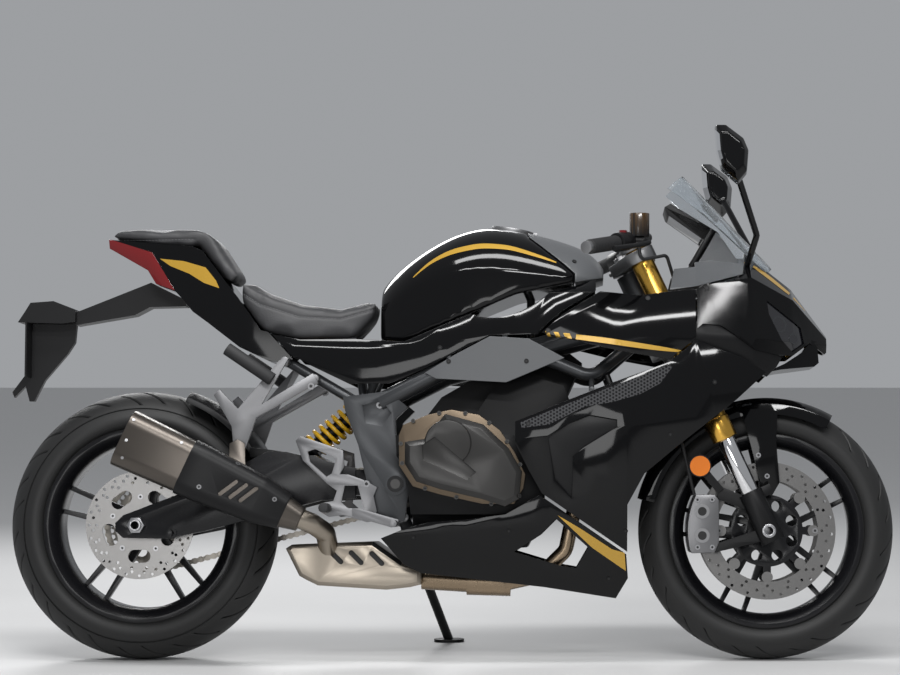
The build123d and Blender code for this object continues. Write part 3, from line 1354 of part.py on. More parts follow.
with BuildPart() as fairing_stay:
    add(stay_rods)
    add(upper_behind, mode=Mode.INTERSECT)
    add([stay_rods[3], stay_rods[7]])
    add([instrument_panel.part, mirrors.part], mode=Mode.SUBTRACT)

# Radiator between the side fairings

RADIATOR_MIDDLE = (1104, 430)
RADIATOR_TILT = 15
RADIATOR_HEIGHT = 250
RADIATOR_DEPTH = 34
RADIATOR_HALF = 164
up = (sin(radians(RADIATOR_TILT)), cos(radians(RADIATOR_TILT)))
radiator_outline = []
for rise, across in ((1, 1), (1, -1), (-1, -1), (-1, 1)):
    radiator_outline.append(
        (
            RADIATOR_MIDDLE[0] + rise * RADIATOR_HEIGHT / 2 * up[0] + across * RADIATOR_DEPTH / 2 * up[1],
            RADIATOR_MIDDLE[1] + rise * RADIATOR_HEIGHT / 2 * up[1] - across * RADIATOR_DEPTH / 2 * up[0],
        )
    )
radiator_core = side_prism(radiator_outline, RADIATOR_HALF, -RADIATOR_HALF)
radiator_hangers = [rod(*sided([(1130, 104, 540), (1085, 106, 662)], side), 8) for side in SIDES]
radiator_hangers += panel_stays([((1104, RADIATOR_HALF + 1, 430), (1104, 240, 430))], lower_behind)

# Side stand: a leg on a tilted pivot, its foot flat on the floor

lean = radians(LEAN)
REAR_CROWN_RADIUS = ((REAR_WIDTH / 2 - 2) ** 2 + REAR_CROWN_DROP**2) / (2 * REAR_CROWN_DROP)
FLOOR_DROP = REAR_CROWN_RADIUS * (1 - cos(lean))
stand_axis = Vector(0, cos(radians(STAND_AXIS_TILT)), sin(radians(STAND_AXIS_TILT)))
pivot = Vector(*spot(*STAND_PIVOT))
floor_z = (STAND_FOOT[1] * sin(lean) - FLOOR_DROP) / cos(lean)
sole = Vector(STAND_FOOT[0], STAND_FOOT[1], floor_z)
floor_up = Vector(0, -sin(lean), cos(lean))
FOOT_THICKNESS = 7
EYE_THICKNESS = 2 * STAND_LEG_RADIUS
EYE_GAP = 1
EYE_RADIUS = 20
STAND_PIN_RADIUS = 8
eye_start = pivot + stand_axis * EYE_GAP
eye_middle = pivot + stand_axis * (EYE_GAP + EYE_THICKNESS / 2)
with BuildPart() as side_stand:
    with BuildSketch(Plane(origin=eye_start, z_dir=stand_axis)):
        Circle(EYE_RADIUS)
        Circle(STAND_PIN_RADIUS + BORE_FIT, mode=Mode.SUBTRACT)
    extrude(amount=EYE_THICKNESS)
    with BuildSketch(Plane(origin=sole, x_dir=(1, 0, 0), z_dir=floor_up)):
        SlotOverall(74, 44)
    extrude(amount=FOOT_THICKNESS)
leg_start = eye_middle + (sole - eye_middle).normalized() * 15
leg = rod(tuple(leg_start), tuple(sole + floor_up * (FOOT_THICKNESS / 2)), STAND_LEG_RADIUS)
floor_block = Plane(origin=sole, x_dir=(1, 0, 0), z_dir=floor_up)
with BuildPart() as stand:
    add(side_stand.part)
    add(leg)
    with BuildSketch(floor_block):
        Rectangle(200, 200)
    extrude(amount=-40, mode=Mode.SUBTRACT)
finish(stand.part, "side_stand")
STAND_LUG = [(588, 330), (616, 330), (644, 262), (636, 238), (612, 236), (604, 255)]
lug_plate = side_prism(STAND_LUG, 136, 110)
with BuildPart() as lug_trim:
    with BuildSketch(Plane(origin=pivot, z_dir=stand_axis)):
        Circle(EYE_RADIUS + 7)
    extrude(amount=60)
stand_pin = rod(
    tuple(pivot - stand_axis * 10),
    tuple(pivot + stand_axis * (EYE_GAP + EYE_THICKNESS + 5)),
    STAND_PIN_RADIUS,
)
stand_boss = rod(tuple(pivot - stand_axis * 24), tuple(pivot), EYE_RADIUS)

# Shock absorber, spring and hugger

SHOCK_LOW = Vector(*spot(372, -18, 476))
SHOCK_TOP = Vector(*spot(512, -18, 590))
SPRING_RADIUS = 28
SPRING_WIRE = 5
SPRING_TURNS = 6
SPRING_START = 36
SPRING_LENGTH = 112
shock_step = (SHOCK_TOP - SHOCK_LOW).normalized()
shock_solids = [
    rod(tuple(SHOCK_LOW), tuple(SHOCK_TOP), 16),
    rod(
        tuple(SHOCK_LOW + shock_step * (SPRING_START - 12)),
        tuple(SHOCK_LOW + shock_step * (SPRING_START - SPRING_WIRE)),
        34,
    ),
    rod(
        tuple(SHOCK_LOW + shock_step * (SPRING_START + SPRING_LENGTH + SPRING_WIRE)),
        tuple(SHOCK_LOW + shock_step * (SPRING_START + SPRING_LENGTH + SPRING_WIRE + 7)), 34,
    ),
]
spring_foot = SHOCK_LOW + shock_step * SPRING_START
with BuildPart() as shock_spring:
    with BuildLine() as coil:
        Helix(
            SPRING_LENGTH / SPRING_TURNS,
            SPRING_LENGTH,
            SPRING_RADIUS,
            center=spring_foot,
            direction=shock_step,
        )
    with BuildSketch(Plane(origin=coil.line @ 0, z_dir=coil.line % 0)):
        Circle(SPRING_WIRE)
    sweep(path=coil.line, is_frenet=True)
finish(shock_spring.part, "shock_spring")

HUGGER_INNER = REAR_RADIUS + 14
HUGGER_WALL = 4
hugger_outer = [(102, HUGGER_INNER - 23), (98, HUGGER_INNER - 11), (70, HUGGER_INNER + HUGGER_WALL)]
hugger_inner = [(98, HUGGER_INNER - 23), (94, HUGGER_INNER - 13), (69, HUGGER_INNER)]
hugger_profile = hugger_outer + [(-y, r) for y, r in reversed(hugger_outer)]
hugger_profile += [(-y, r) for y, r in hugger_inner] + list(reversed(hugger_inner))
HUGGER_START = 70
HUGGER_ARC = 42
hugger_angle = radians(HUGGER_START)
lug_angle = radians(HUGGER_START - HUGGER_ARC + 7)
lug_top = (cos(lug_angle) * (HUGGER_INNER - 13), REAR_RADIUS + sin(lug_angle) * (HUGGER_INNER - 13))
HUGGER_LUG = [(258, 470), (300, 466), (342, 466), (345, 482), (300, 488)]
lug_outline = [(along(x), z + lift(x)) for x, z in HUGGER_LUG] + [lug_top]
hugger_lugs = both_sides(prism(lug_outline, -96, -ARM_INNER + FIT))
with BuildPart() as hugger:
    with BuildSketch(
        Plane(origin=REAR_AXIS.position, x_dir=(0, 1, 0), z_dir=(sin(hugger_angle), 0, -cos(hugger_angle)))
    ):
        with BuildLine():
            Polyline(*hugger_profile, close=True)
        make_face()
    revolve(axis=REAR_AXIS, revolution_arc=HUGGER_ARC)
    add(hugger_lugs)
finish(hugger.part, "rear_hugger")

# Foot brackets, pegs and levers

REST_IN = PLATE_OUTER
REST_OUT = PLATE_OUTER + 14
RIDER_BRACKET = [
    (368, 507), (379, 518), (477, 485), (480, 447), (470, 430), (491, 429), (522, 418), (556, 400),
    (548, 380), (556, 345), (547, 322), (533, 320), (478, 336), (446, 332), (422, 346), (429, 364),
    (456, 369), (464, 392), (442, 408), (385, 462),
]
HEEL_WINDOW = [(396, 482), (413, 488), (462, 466), (452, 432), (440, 424), (402, 458)]
PEG_WINDOW = [(482, 404), (512, 404), (526, 352), (490, 352), (474, 366)]
PILLION_BRACKET = [
    (330, 692), (352, 698), (290, 590), (408, 662), (420, 640), (278, 560), (252, 482), (228, 478),
    (222, 540), (180, 612), (194, 624), (236, 580),
]
PILLION_IN = 164
PILLION_OUT = 177.5
bracket_windows = [side_prism(window, -REST_IN + 1, -REST_OUT - 1) for window in (HEEL_WINDOW, PEG_WINDOW)]
bracket_plate = side_prism(RIDER_BRACKET, -REST_IN, -REST_OUT)
with BuildPart() as rider_bracket:
    add(bracket_plate)
    add(bracket_windows, mode=Mode.SUBTRACT)
bracket_pair = both_sides(rider_bracket.part)
pillion_pair = both_sides(side_prism(PILLION_BRACKET, -PILLION_IN, -PILLION_OUT))
spacers = []
for side in SIDES:
    spacers.append(rod(spot(341, side * 104, 692), spot(341, side * (PILLION_IN + 1), 692), 9))
    spacers.append(rod(spot(411, side * 108, 651), spot(411, side * (PILLION_IN + 1), 651), 9))

RIDER_PEG = (441, 353)
RIDER_PEG_LENGTH = 92
PILLION_PEG = ((316, 647), (211, 718))
PILLION_PEG_RADIUS = 15
peg_solids = []
for side in SIDES:
    x, z = RIDER_PEG
    peg_solids.append(rod(spot(x, side * REST_OUT, z), spot(x, side * (REST_OUT + RIDER_PEG_LENGTH), z), 11))
    folded = [spot(x, side * (PILLION_OUT + PILLION_PEG_RADIUS), z) for x, z in PILLION_PEG]
    peg_solids.append(rod(*folded, PILLION_PEG_RADIUS))
with BuildPart() as foot_pegs:
    add(peg_solids)
finish(foot_pegs.part, "foot_pegs")

TOE_LEVER = [(500, 352), (520, 350), (606, 326), (606, 310), (590, 308), (500, 334)]
lever_solids = []
for side in SIDES:
    lever_solids.append(
        side_prism(TOE_LEVER, side * (REST_OUT + 5 + 5 * side), side * (REST_OUT + 5 - 5 * side))
    )
    lever_solids.append(rod(spot(598, side * (REST_OUT + 8), 317), spot(598, side * (REST_OUT + 62), 317), 8))
with BuildPart() as foot_levers:
    add(lever_solids)
finish(foot_levers.part, "foot_levers")

# Rear brake caliper on the right arm

REAR_CALIPER = [(86, 25), (98, -21), (150, -13), (160, 17), (140, 59), (104, 59)]
caliper_form = rear_prism(REAR_CALIPER, -REAR_HUB_HALF + 16, -ARM_INNER)
with BuildPart() as rear_caliper:
    add(caliper_form)
    with BuildSketch(REAR_SIDE.offset(REAR_HUB_HALF - DISC_GAP)):
        Circle(REAR_DISC_RADIUS + DISC_GAP)
    extrude(amount=DISC_THICKNESS + 2 * DISC_GAP, mode=Mode.SUBTRACT)
finish(rear_caliper.part, "rear_caliper")

# Frame, joined last so that its posts end on what they carry

posts = []
for side in SIDES:
    posts.append(rod(*sided([(905, 108, 722), (905, 108, 880)], side), 10))
    posts.append(rod(*sided([(520, 60, 590), (588, 60, 760)], side), 10))
    posts.append(rod(*sided([(520, 90, 590), (500, 90, 741)], side), 9))
    posts.append(rod(*sided([(500, 90, 741), (372, 90, 739)], side), 9))
    posts.append(rod(*sided([(372, 90, 739), (330, 92, 705)], side), 9))
with BuildPart() as frame:
    add(pivot_plates)
    add(recesses, mode=Mode.SUBTRACT)
    add(frame_tubes)
    add(posts)
    with BuildSketch(FORK.offset(LOWER_YOKE + LOWER_YOKE_DEPTH + HEADSTOCK_GAP)):
        with Locations((-YOKE_OFFSET, 0)):
            Circle(HEADSTOCK_RADIUS)
    extrude(amount=UPPER_YOKE - LOWER_YOKE - LOWER_YOKE_DEPTH - 2 * HEADSTOCK_GAP)
    with BuildSketch(FORK.offset(LOWER_YOKE)):
        with Locations((-YOKE_OFFSET, 0)):
            Circle(STEM_RADIUS + BORE_FIT)
    extrude(amount=UPPER_YOKE - LOWER_YOKE, mode=Mode.SUBTRACT)
    add(lug_plate)
    add(stand_boss)
    add(lug_trim.part, mode=Mode.SUBTRACT)
    add(stand_pin)
    add(stay_solids)
    add([fuel_tank.part, tank_cover.part, engine.part], mode=Mode.SUBTRACT)
finish(frame.part, "frame")
with BuildPart() as fairing_stay_clear:
    add(fairing_stay.part)
    add([frame.part, cockpit_deck.part], mode=Mode.SUBTRACT)
finish(fairing_stay_clear.part, "fairing_stay")
with BuildPart() as tail_cowl:
    add(tail_form.part)
    add(light_block, mode=Mode.SUBTRACT)
    add(frame.part, mode=Mode.SUBTRACT)
finish(tail_cowl.part, "tail_cowl")
with BuildPart() as radiator:
    add(radiator_core)
    add(radiator_hangers)
    add(frame.part, mode=Mode.SUBTRACT)
finish(radiator.part, "radiator")
with BuildPart() as shock_absorber:
    add(shock_solids)
    add([frame.part, swingarm.part], mode=Mode.SUBTRACT)
finish(shock_absorber.part, "shock_absorber")
with BuildPart() as foot_brackets:
    add(bracket_pair)
    add(pillion_pair)
    add(spacers)
    add([frame.part, tail_form.part], mode=Mode.SUBTRACT)
finish(foot_brackets.part, "foot_brackets")

# The bike leans on its stand and its origin moves under the middle of its box

os.makedirs("parts", exist_ok=True)
LEANED = Location((0, 0, FLOOR_DROP), (-LEAN, 0, 0))
leaned = [LEANED * part for part in pieces]
boxes = [part.bounding_box() for part in leaned]
middle_x = (min(box.min.X for box in boxes) + max(box.max.X for box in boxes)) / 2
middle_y = (min(box.min.Y for box in boxes) + max(box.max.Y for box in boxes)) / 2
STANCE = Location((-middle_x, -middle_y, 0)) * LEANED
for part in pieces:
    stood = STANCE * part
    stood.label = part.label
    export_step(stood, f"parts/{part.label}.step")

BOBBIN_MIDDLE = ARM_OUTER + BOBBIN_COLLAR + BOBBIN_LENGTH / 2
STEER_POINT = FORK.from_local_coords(Vector(-YOKE_OFFSET, 0, 0))
PIVOTS = (
    ("front_wheel", Vector(WHEELBASE, 0, FRONT_RADIUS), Vector(0, 1, 0)),
    ("rear_wheel", Vector(0, 0, REAR_RADIUS), Vector(0, 1, 0)),
    ("steering", STEER_POINT, FORK.z_dir),
    ("side_stand", pivot, stand_axis),
    ("fuel_cap", hinge_middle, Vector(0, 1, 0)),
    ("bobbin_left", Vector(BOBBIN_X, BOBBIN_MIDDLE, REAR_RADIUS - BOBBIN_DROP), Vector(0, 1, 0)),
    ("bobbin_right", Vector(BOBBIN_X, -BOBBIN_MIDDLE, REAR_RADIUS - BOBBIN_DROP), Vector(0, -1, 0)),
    ("plate_holes", Vector(PLATE_BACK, 0, PLATE_HOLE_HEIGHT), Vector(-1, 0, 0)),
)
for name, point, axis in PIVOTS:
    at = STANCE * Location(point)
    ahead = STANCE * Location(point + axis * 100)
    step = (ahead.position - at.position).normalized()
    print(name, [round(v, 3) for v in at.position], [round(v, 6) for v in step])
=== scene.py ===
import bpy
import bmesh
import json
import math
from mathutils import Matrix, Vector
from mathutils.bvhtree import BVHTree


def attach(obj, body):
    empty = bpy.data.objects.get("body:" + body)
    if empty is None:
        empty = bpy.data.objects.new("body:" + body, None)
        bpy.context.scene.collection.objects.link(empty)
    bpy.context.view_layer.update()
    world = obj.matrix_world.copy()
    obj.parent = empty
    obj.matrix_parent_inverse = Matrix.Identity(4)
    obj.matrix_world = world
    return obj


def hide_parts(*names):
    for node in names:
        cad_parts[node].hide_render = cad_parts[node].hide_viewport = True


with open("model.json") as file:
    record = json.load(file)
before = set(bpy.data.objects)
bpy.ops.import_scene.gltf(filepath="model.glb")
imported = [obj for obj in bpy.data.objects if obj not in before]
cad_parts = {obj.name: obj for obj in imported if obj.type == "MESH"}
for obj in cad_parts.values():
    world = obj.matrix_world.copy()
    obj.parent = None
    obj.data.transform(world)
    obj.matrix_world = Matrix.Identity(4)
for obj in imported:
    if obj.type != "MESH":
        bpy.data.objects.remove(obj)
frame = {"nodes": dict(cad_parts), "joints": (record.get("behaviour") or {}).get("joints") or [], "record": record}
scene = bpy.context.scene
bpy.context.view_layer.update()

# Places are given on the upright bike in millimetres: x forward from the rear axle, y left, z up.
stance = {"lean": math.radians(4.5), "rearAxle": 313, "frontAxle": (1460, 300), "outside": 420}
bikeSides = ((-1, "Right"), (1, "Left"))
jointPlace = {joint["name"]: Vector(joint["pos_m"]) for joint in frame["joints"]}
turn = Matrix.Rotation(-stance["lean"], 4, "X")
upright = turn.inverted()
bikeOrigin = jointPlace["rear_wheel_spin"] - turn @ Vector((0, 0, stance["rearAxle"] / 1000))
toRow = Matrix.Translation(bikeOrigin) @ turn
toBike = toRow.inverted()
bodyOf = {node: body for body, nodes in frame["record"]["behaviour"]["bodies"].items() for node in nodes}


def rowPoint(x, y, z):
    return toRow @ Vector((x / 1000, y / 1000, z / 1000))


def rowTurn(x, y, z):
    return (turn @ Vector((x, y, z))).normalized()


print("materials")


def newGroup(name, inputs, outputs, treeKind="ShaderNodeTree"):
    tree = bpy.data.node_groups.new(name, treeKind)
    for label, kind, value in inputs:
        socket = tree.interface.new_socket(name=label, in_out="INPUT", socket_type=kind)
        if value is not None:
            socket.default_value = value
    for label, kind in outputs:
        tree.interface.new_socket(name=label, in_out="OUTPUT", socket_type=kind)
    return tree, tree.nodes.new("NodeGroupInput"), tree.nodes.new("NodeGroupOutput")


def feed(tree, socket, value):
    if isinstance(value, (int, float, str, tuple, list, Vector)):
        socket.default_value = value
    else:
        tree.links.new(value, socket)


def addNode(tree, kind, inputs, **options):
    node = tree.nodes.new(kind)
    for label, value in options.items():
        setattr(node, label, value)
    for label, value in inputs.items():
        feed(tree, node.inputs[label], value)
    return node


def mathNode(tree, operation, *values, clamp=False):
    node = addNode(tree, "ShaderNodeMath", {}, operation=operation, use_clamp=clamp)
    for place, value in enumerate(values):
        feed(tree, node.inputs[place], value)
    return node.outputs[0]


def vectorNode(tree, operation, first, second):
    node = addNode(tree, "ShaderNodeVectorMath", {0: first, 1: second}, operation=operation)
    return node.outputs["Value" if operation == "DOT_PRODUCT" else "Vector"]


# Roughness that varies a little over a surface, with a fine bump.
def makeGrain():
    tree, start, end = newGroup(
        "surfaceGrain",
        [
            ("Scale", "NodeSocketFloat", 40.0),
            ("Roughness", "NodeSocketFloat", 0.4),
            ("Variation", "NodeSocketFloat", 0.08),
            ("Bump", "NodeSocketFloat", 0.05),
            ("Depth", "NodeSocketFloat", 0.0004),
            ("Stretch", "NodeSocketVector", (1.0, 1.0, 1.0)),
        ],
        [("Roughness", "NodeSocketFloat"), ("Normal", "NodeSocketVector")],
    )
    given = start.outputs
    place = tree.nodes.new("ShaderNodeTexCoord")
    stretched = vectorNode(tree, "MULTIPLY", place.outputs["Object"], given["Stretch"])
    noise = addNode(tree, "ShaderNodeTexNoise", {"Vector": stretched, "Scale": given["Scale"], "Detail": 4.0})
    centred = mathNode(tree, "SUBTRACT", noise.outputs[0], 0.5)
    swing = mathNode(tree, "MULTIPLY", centred, given["Variation"])
    feed(tree, end.inputs["Roughness"], mathNode(tree, "ADD", given["Roughness"], swing, clamp=True))
    lift = {"Strength": given["Bump"], "Distance": given["Depth"], "Height": noise.outputs[0]}
    feed(tree, end.inputs["Normal"], addNode(tree, "ShaderNodeBump", lift).outputs["Normal"])
    return tree


grain = makeGrain()
paint = {}


def makeMaterial(
    name, color, roughness, metallic=0.0, coat=0.0, specular=0.5,
    variation=0.08, bump=0.04, depth=0.0004, grainScale=60.0, stretch=(1.0, 1.0, 1.0),
):
    material = bpy.data.materials.new(name)
    material.use_nodes = True
    tree = material.node_tree
    shader = tree.nodes["Principled BSDF"]
    settings = {
        "Scale": grainScale, "Roughness": roughness, "Variation": variation, "Bump": bump, "Depth": depth,
        "Stretch": stretch,
    }
    group = addNode(tree, "ShaderNodeGroup", settings, node_tree=grain)
    surface = {
        "Base Color": (*color, 1.0), "Metallic": metallic, "Specular IOR Level": specular,
        "Coat Weight": coat, "Coat Roughness": 0.03, "Roughness": group.outputs["Roughness"],
    }
    for label, value in surface.items():
        feed(tree, shader.inputs[label], value)
    if bump > 0:
        feed(tree, shader.inputs["Normal"], group.outputs["Normal"])
    paint[name] = material
    return material


makeMaterial("glossBlack", (0.002, 0.002, 0.0023), 0.07, variation=0.02, bump=0.0, specular=0.26)
makeMaterial("satinGrey", (0.075, 0.078, 0.082), 0.34, bump=0.08, grainScale=900, specular=0.35)
makeMaterial("satinBlack", (0.005, 0.005, 0.0055), 0.42, bump=0.08, grainScale=900, specular=0.22)
makeMaterial("frameGrey", (0.040, 0.042, 0.045), 0.34, metallic=0.5, bump=0.10, grainScale=700)
makeMaterial("rimBlack", (0.005, 0.005, 0.006), 0.26, specular=0.3, bump=0.02, grainScale=300)
makeMaterial("engineBlack", (0.003, 0.003, 0.0034), 0.45, specular=0.15, bump=0.12, grainScale=500)
makeMaterial("coverGrey", (0.030, 0.029, 0.028), 0.34, metallic=0.5, bump=0.12, grainScale=500)
makeMaterial("casingBronze", (0.115, 0.088, 0.062), 0.36, metallic=0.9, bump=0.10, grainScale=400)
makeMaterial("discSteel", (0.235, 0.23, 0.225), 0.32, metallic=1.0, bump=0.05, grainScale=250)
makeMaterial("axleSteel", (0.36, 0.36, 0.37), 0.32, metallic=1.0, bump=0.03)
makeMaterial("chainSteel", (0.30, 0.28, 0.25), 0.36, metallic=1.0, bump=0.05)
makeMaterial("castSilver", (0.25, 0.25, 0.255), 0.42, metallic=0.95, bump=0.08, grainScale=600)
makeMaterial("footSilver", (0.19, 0.19, 0.195), 0.40, metallic=0.95, bump=0.10, grainScale=600)
makeMaterial("anodGold", (0.72, 0.42, 0.08), 0.24, metallic=1.0, bump=0.02)
makeMaterial("stripeGold", (0.46, 0.27, 0.03), 0.26, metallic=0.25, coat=0.3, bump=0.0)
makeMaterial("springGold", (0.80, 0.46, 0.02), 0.28, coat=0.4, bump=0.0)
makeMaterial("chromeMetal", (0.75, 0.75, 0.76), 0.08, metallic=1.0, bump=0.0)
makeMaterial("gripRubber", (0.012, 0.012, 0.013), 0.68, bump=0.2, grainScale=700)
makeMaterial("hoseRubber", (0.014, 0.014, 0.015), 0.55, bump=0.1, grainScale=900)
makeMaterial("bronzeMetal", (0.27, 0.205, 0.14), 0.28, metallic=1.0, bump=0.06, grainScale=120)
makeMaterial(
    "shieldMetal", (0.33, 0.29, 0.24), 0.32, metallic=1.0, bump=0.10, grainScale=90, stretch=(0.2, 1.0, 4.0),
)
makeMaterial(
    "silencerMetal", (0.105, 0.093, 0.082), 0.34, metallic=1.0, bump=0.08, grainScale=160,
    stretch=(0.3, 1.0, 3.0),
)
makeMaterial("lampRed", (0.12, 0.002, 0.003), 0.10, coat=0.6, bump=0.0)
makeMaterial("mirrorGlass", (0.85, 0.86, 0.88), 0.02, metallic=1.0, bump=0.0, variation=0.0)
makeMaterial("screenClear", (0.80, 0.84, 0.87), 0.03, bump=0.0, variation=0.0)
makeMaterial("lampDark", (0.006, 0.006, 0.008), 0.04, coat=1.0, bump=0.0)
makeMaterial("lensBright", (0.05, 0.052, 0.056), 0.06, metallic=0.6, bump=0.0)
makeMaterial("amberPlastic", (0.045, 0.024, 0.008), 0.20, coat=0.5, bump=0.0)
makeMaterial("reflectorAmber", (0.80, 0.20, 0.01), 0.16, coat=0.8, bump=0.15, grainScale=500)
makeMaterial("displayDark", (0.012, 0.014, 0.018), 0.06, coat=1.0, bump=0.0)
# Painted shade: near black that stands for the shade inside bolt sockets and recesses.
makeMaterial("recessDark", (0.004, 0.004, 0.004), 0.6, bump=0.0)
# Painted shade: near black for the shade at the floor of the tread's grooves.
makeMaterial("grooveDark", (0.002, 0.002, 0.002), 0.8, bump=0.0, specular=0.1)
makeMaterial("stitchGrey", (0.10, 0.10, 0.105), 0.7, bump=0.0)
screenSettings = {"Transmission Weight": 0.96, "IOR": 1.12}
for label, value in screenSettings.items():
    paint["screenClear"].node_tree.nodes["Principled BSDF"].inputs[label].default_value = value

# The tread repeats around each wheel. Grooves are rows of phase, half width as a share of a repeat, and from
# and to across the tread in metres.
tyreSettings = {
    "front_tyre": {
        "centre": (stance["frontAxle"][0], 0, stance["frontAxle"][1]), "repeats": 13, "slope": 13.0,
        "band": 0.056, "depth": 0.003, "ridges": (0.234, 0.238, 0.262),
        "grooves": ((0.5, 0.045, 0.012, 0.046), (0.0, 0.034, 0.024, 0.053)),
    },
    "rear_tyre": {
        "centre": (0, 0, stance["rearAxle"]), "repeats": 14, "slope": 10.0,
        "band": 0.082, "depth": 0.003, "ridges": (0.236, 0.240, 0.268),
        "grooves": ((0.5, 0.048, 0.014, 0.066), (0.0, 0.036, 0.034, 0.078)),
    },
}
rubberSettings = {"color": (0.014, 0.014, 0.014), "ridgeHalf": 0.0012, "bump": 0.5, "rise": 0.002}


# Rubber with raised rings on the side walls, at radii from one wheel's axle.
def makeTread(name, settings):
    material = makeMaterial(name, rubberSettings["color"], 0.56, specular=0.35, bump=0.10, grainScale=500)
    tree = material.node_tree
    normal = tree.nodes["Principled BSDF"].inputs["Normal"]
    place = tree.nodes.new("ShaderNodeTexCoord")
    offset = vectorNode(tree, "SUBTRACT", place.outputs["Object"], rowPoint(*settings["centre"]))
    ahead = vectorNode(tree, "DOT_PRODUCT", offset, rowTurn(1, 0, 0))
    upward = vectorNode(tree, "DOT_PRODUCT", offset, rowTurn(0, 0, 1))
    squares = mathNode(tree, "MULTIPLY_ADD", ahead, ahead, mathNode(tree, "MULTIPLY", upward, upward))
    radial = mathNode(tree, "SQRT", squares)
    height = 0.0
    for radius in settings["ridges"]:
        away = mathNode(tree, "ABSOLUTE", mathNode(tree, "SUBTRACT", radial, radius))
        ring = mathNode(tree, "LESS_THAN", away, rubberSettings["ridgeHalf"])
        height = mathNode(tree, "ADD", ring, height)
    lift = {
        "Strength": rubberSettings["bump"], "Distance": rubberSettings["rise"], "Height": height,
        "Normal": normal.links[0].from_socket,
    }
    feed(tree, normal, addNode(tree, "ShaderNodeBump", lift).outputs["Normal"])


makeTread("frontTread", tyreSettings["front_tyre"])
makeTread("rearTread", tyreSettings["rear_tyre"])

meshSettings = {
    "waves": 880, "level": 0.1, "ground": (0.045, 0.045, 0.047, 1), "holes": (0.003, 0.003, 0.0035, 1),
}


# A fine six-sided mesh as a faint print on a dark panel: three waves turned by 60 degrees.
def makeMesh():
    material = makeMaterial("meshPrint", (0.02, 0.02, 0.022), 0.16, coat=0.4, bump=0.0, specular=0.3)
    tree = material.node_tree
    place = tree.nodes.new("ShaderNodeTexCoord").outputs["Object"]
    along = vectorNode(tree, "DOT_PRODUCT", place, rowTurn(1, 0, 0))
    upward = vectorNode(tree, "DOT_PRODUCT", place, rowTurn(0, 0, 1))
    waves = []
    for angle in (0, 60, 120):
        stepX = meshSettings["waves"] * math.cos(math.radians(angle))
        stepZ = meshSettings["waves"] * math.sin(math.radians(angle))
        phase = mathNode(tree, "MULTIPLY_ADD", along, stepX, mathNode(tree, "MULTIPLY", upward, stepZ))
        waves.append(mathNode(tree, "COSINE", phase))
    total = mathNode(tree, "ADD", mathNode(tree, "ADD", waves[0], waves[1]), waves[2])
    mask = mathNode(tree, "GREATER_THAN", total, meshSettings["level"])
    colors = {"Factor": mask, "A": meshSettings["ground"], "B": meshSettings["holes"]}
    mix = tree.nodes.new("ShaderNodeMix")
    mix.data_type = "RGBA"
    for label, value in colors.items():
        feed(tree, mix.inputs[label], value)
    feed(tree, tree.nodes["Principled BSDF"].inputs["Base Color"], mix.outputs["Result"])


poreSettings = {"scale": 420.0, "bump": 0.35, "depth": 0.0008}


# Seat cover: a fine grain of small pores.
def makeSeatCover():
    material = makeMaterial("seatCover", (0.030, 0.030, 0.032), 0.54, bump=0.0)
    tree = material.node_tree
    place = tree.nodes.new("ShaderNodeTexCoord").outputs["Object"]
    pores = addNode(tree, "ShaderNodeTexVoronoi", {"Vector": place, "Scale": poreSettings["scale"]})
    lift = {
        "Strength": poreSettings["bump"], "Distance": poreSettings["depth"],
        "Height": pores.outputs["Distance"],
    }
    bump = addNode(tree, "ShaderNodeBump", lift)
    feed(tree, tree.nodes["Principled BSDF"].inputs["Normal"], bump.outputs["Normal"])


makeMesh()
makeSeatCover()

print("pieces from the frame")


def plainObject(name, mesh, material, body):
    mesh.materials.clear()
    mesh.materials.append(paint[material])
    made = bpy.data.objects.new(name, mesh)
    scene.collection.objects.link(made)
    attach(made, body)
    return made


# The piece that is shown for a CAD node.
def standIn(node, ending, mesh, material):
    made = plainObject(node + ending, mesh, material, bodyOf[node])
    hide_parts(node)
    return made


def workObject(mesh):
    work = bpy.data.objects.new("work", mesh)
    scene.collection.objects.link(work)
    return work


# A plain mesh of what an object's modifiers make; the object goes away.
def baked(obj):
    graph = bpy.context.evaluated_depsgraph_get()
    mesh = bpy.data.meshes.new_from_object(obj.evaluated_get(graph))
    old = obj.data
    bpy.data.objects.remove(obj)
    if old.users == 0:
        bpy.data.meshes.remove(old)
    return mesh


# A mesh after some modifiers, each given by its kind and settings.
def reshaped(mesh, *steps):
    work = workObject(mesh)
    for kind, settings in steps:
        modifier = work.modifiers.new(kind.lower(), kind)
        for label, value in settings.items():
            setattr(modifier, label, value)
    return baked(work)


def voxelStep(size):
    return "REMESH", {"mode": "VOXEL", "voxel_size": size}


def smoothStep(passes):
    return "SMOOTH", {"factor": 0.5, "iterations": passes}


def meshFrom(bm, name):
    mesh = bpy.data.meshes.new(name)
    bm.to_mesh(mesh)
    bm.free()
    return mesh


# A CAD node's mesh with its doubled points joined.
def mergedMesh(node, name, reach=3e-6):
    bm = bmesh.new()
    bm.from_mesh(frame["nodes"][node].data)
    bmesh.ops.remove_doubles(bm, verts=bm.verts, dist=reach)
    return meshFrom(bm, name)


# The same as a form to edit, with fresh normals.
def mergedForm(node):
    mesh = mergedMesh(node, "trace")
    bm = bmesh.new()
    bm.from_mesh(mesh)
    bpy.data.meshes.remove(mesh)
    return bm


def treeOf(mesh):
    return BVHTree.FromPolygons([v.co for v in mesh.vertices], [list(p.vertices) for p in mesh.polygons])


def nodeTree(node):
    mesh = mergedMesh(node, "trace")
    tree = treeOf(mesh)
    bpy.data.meshes.remove(mesh)
    return tree


def faceToward(bm, direction):
    bm.normal_update()
    if sum((face.normal for face in bm.faces), Vector()).dot(direction) < 0:
        bmesh.ops.reverse_faces(bm, faces=bm.faces[:])


def smoothShade(mesh):
    for face in mesh.polygons:
        face.use_smooth = True


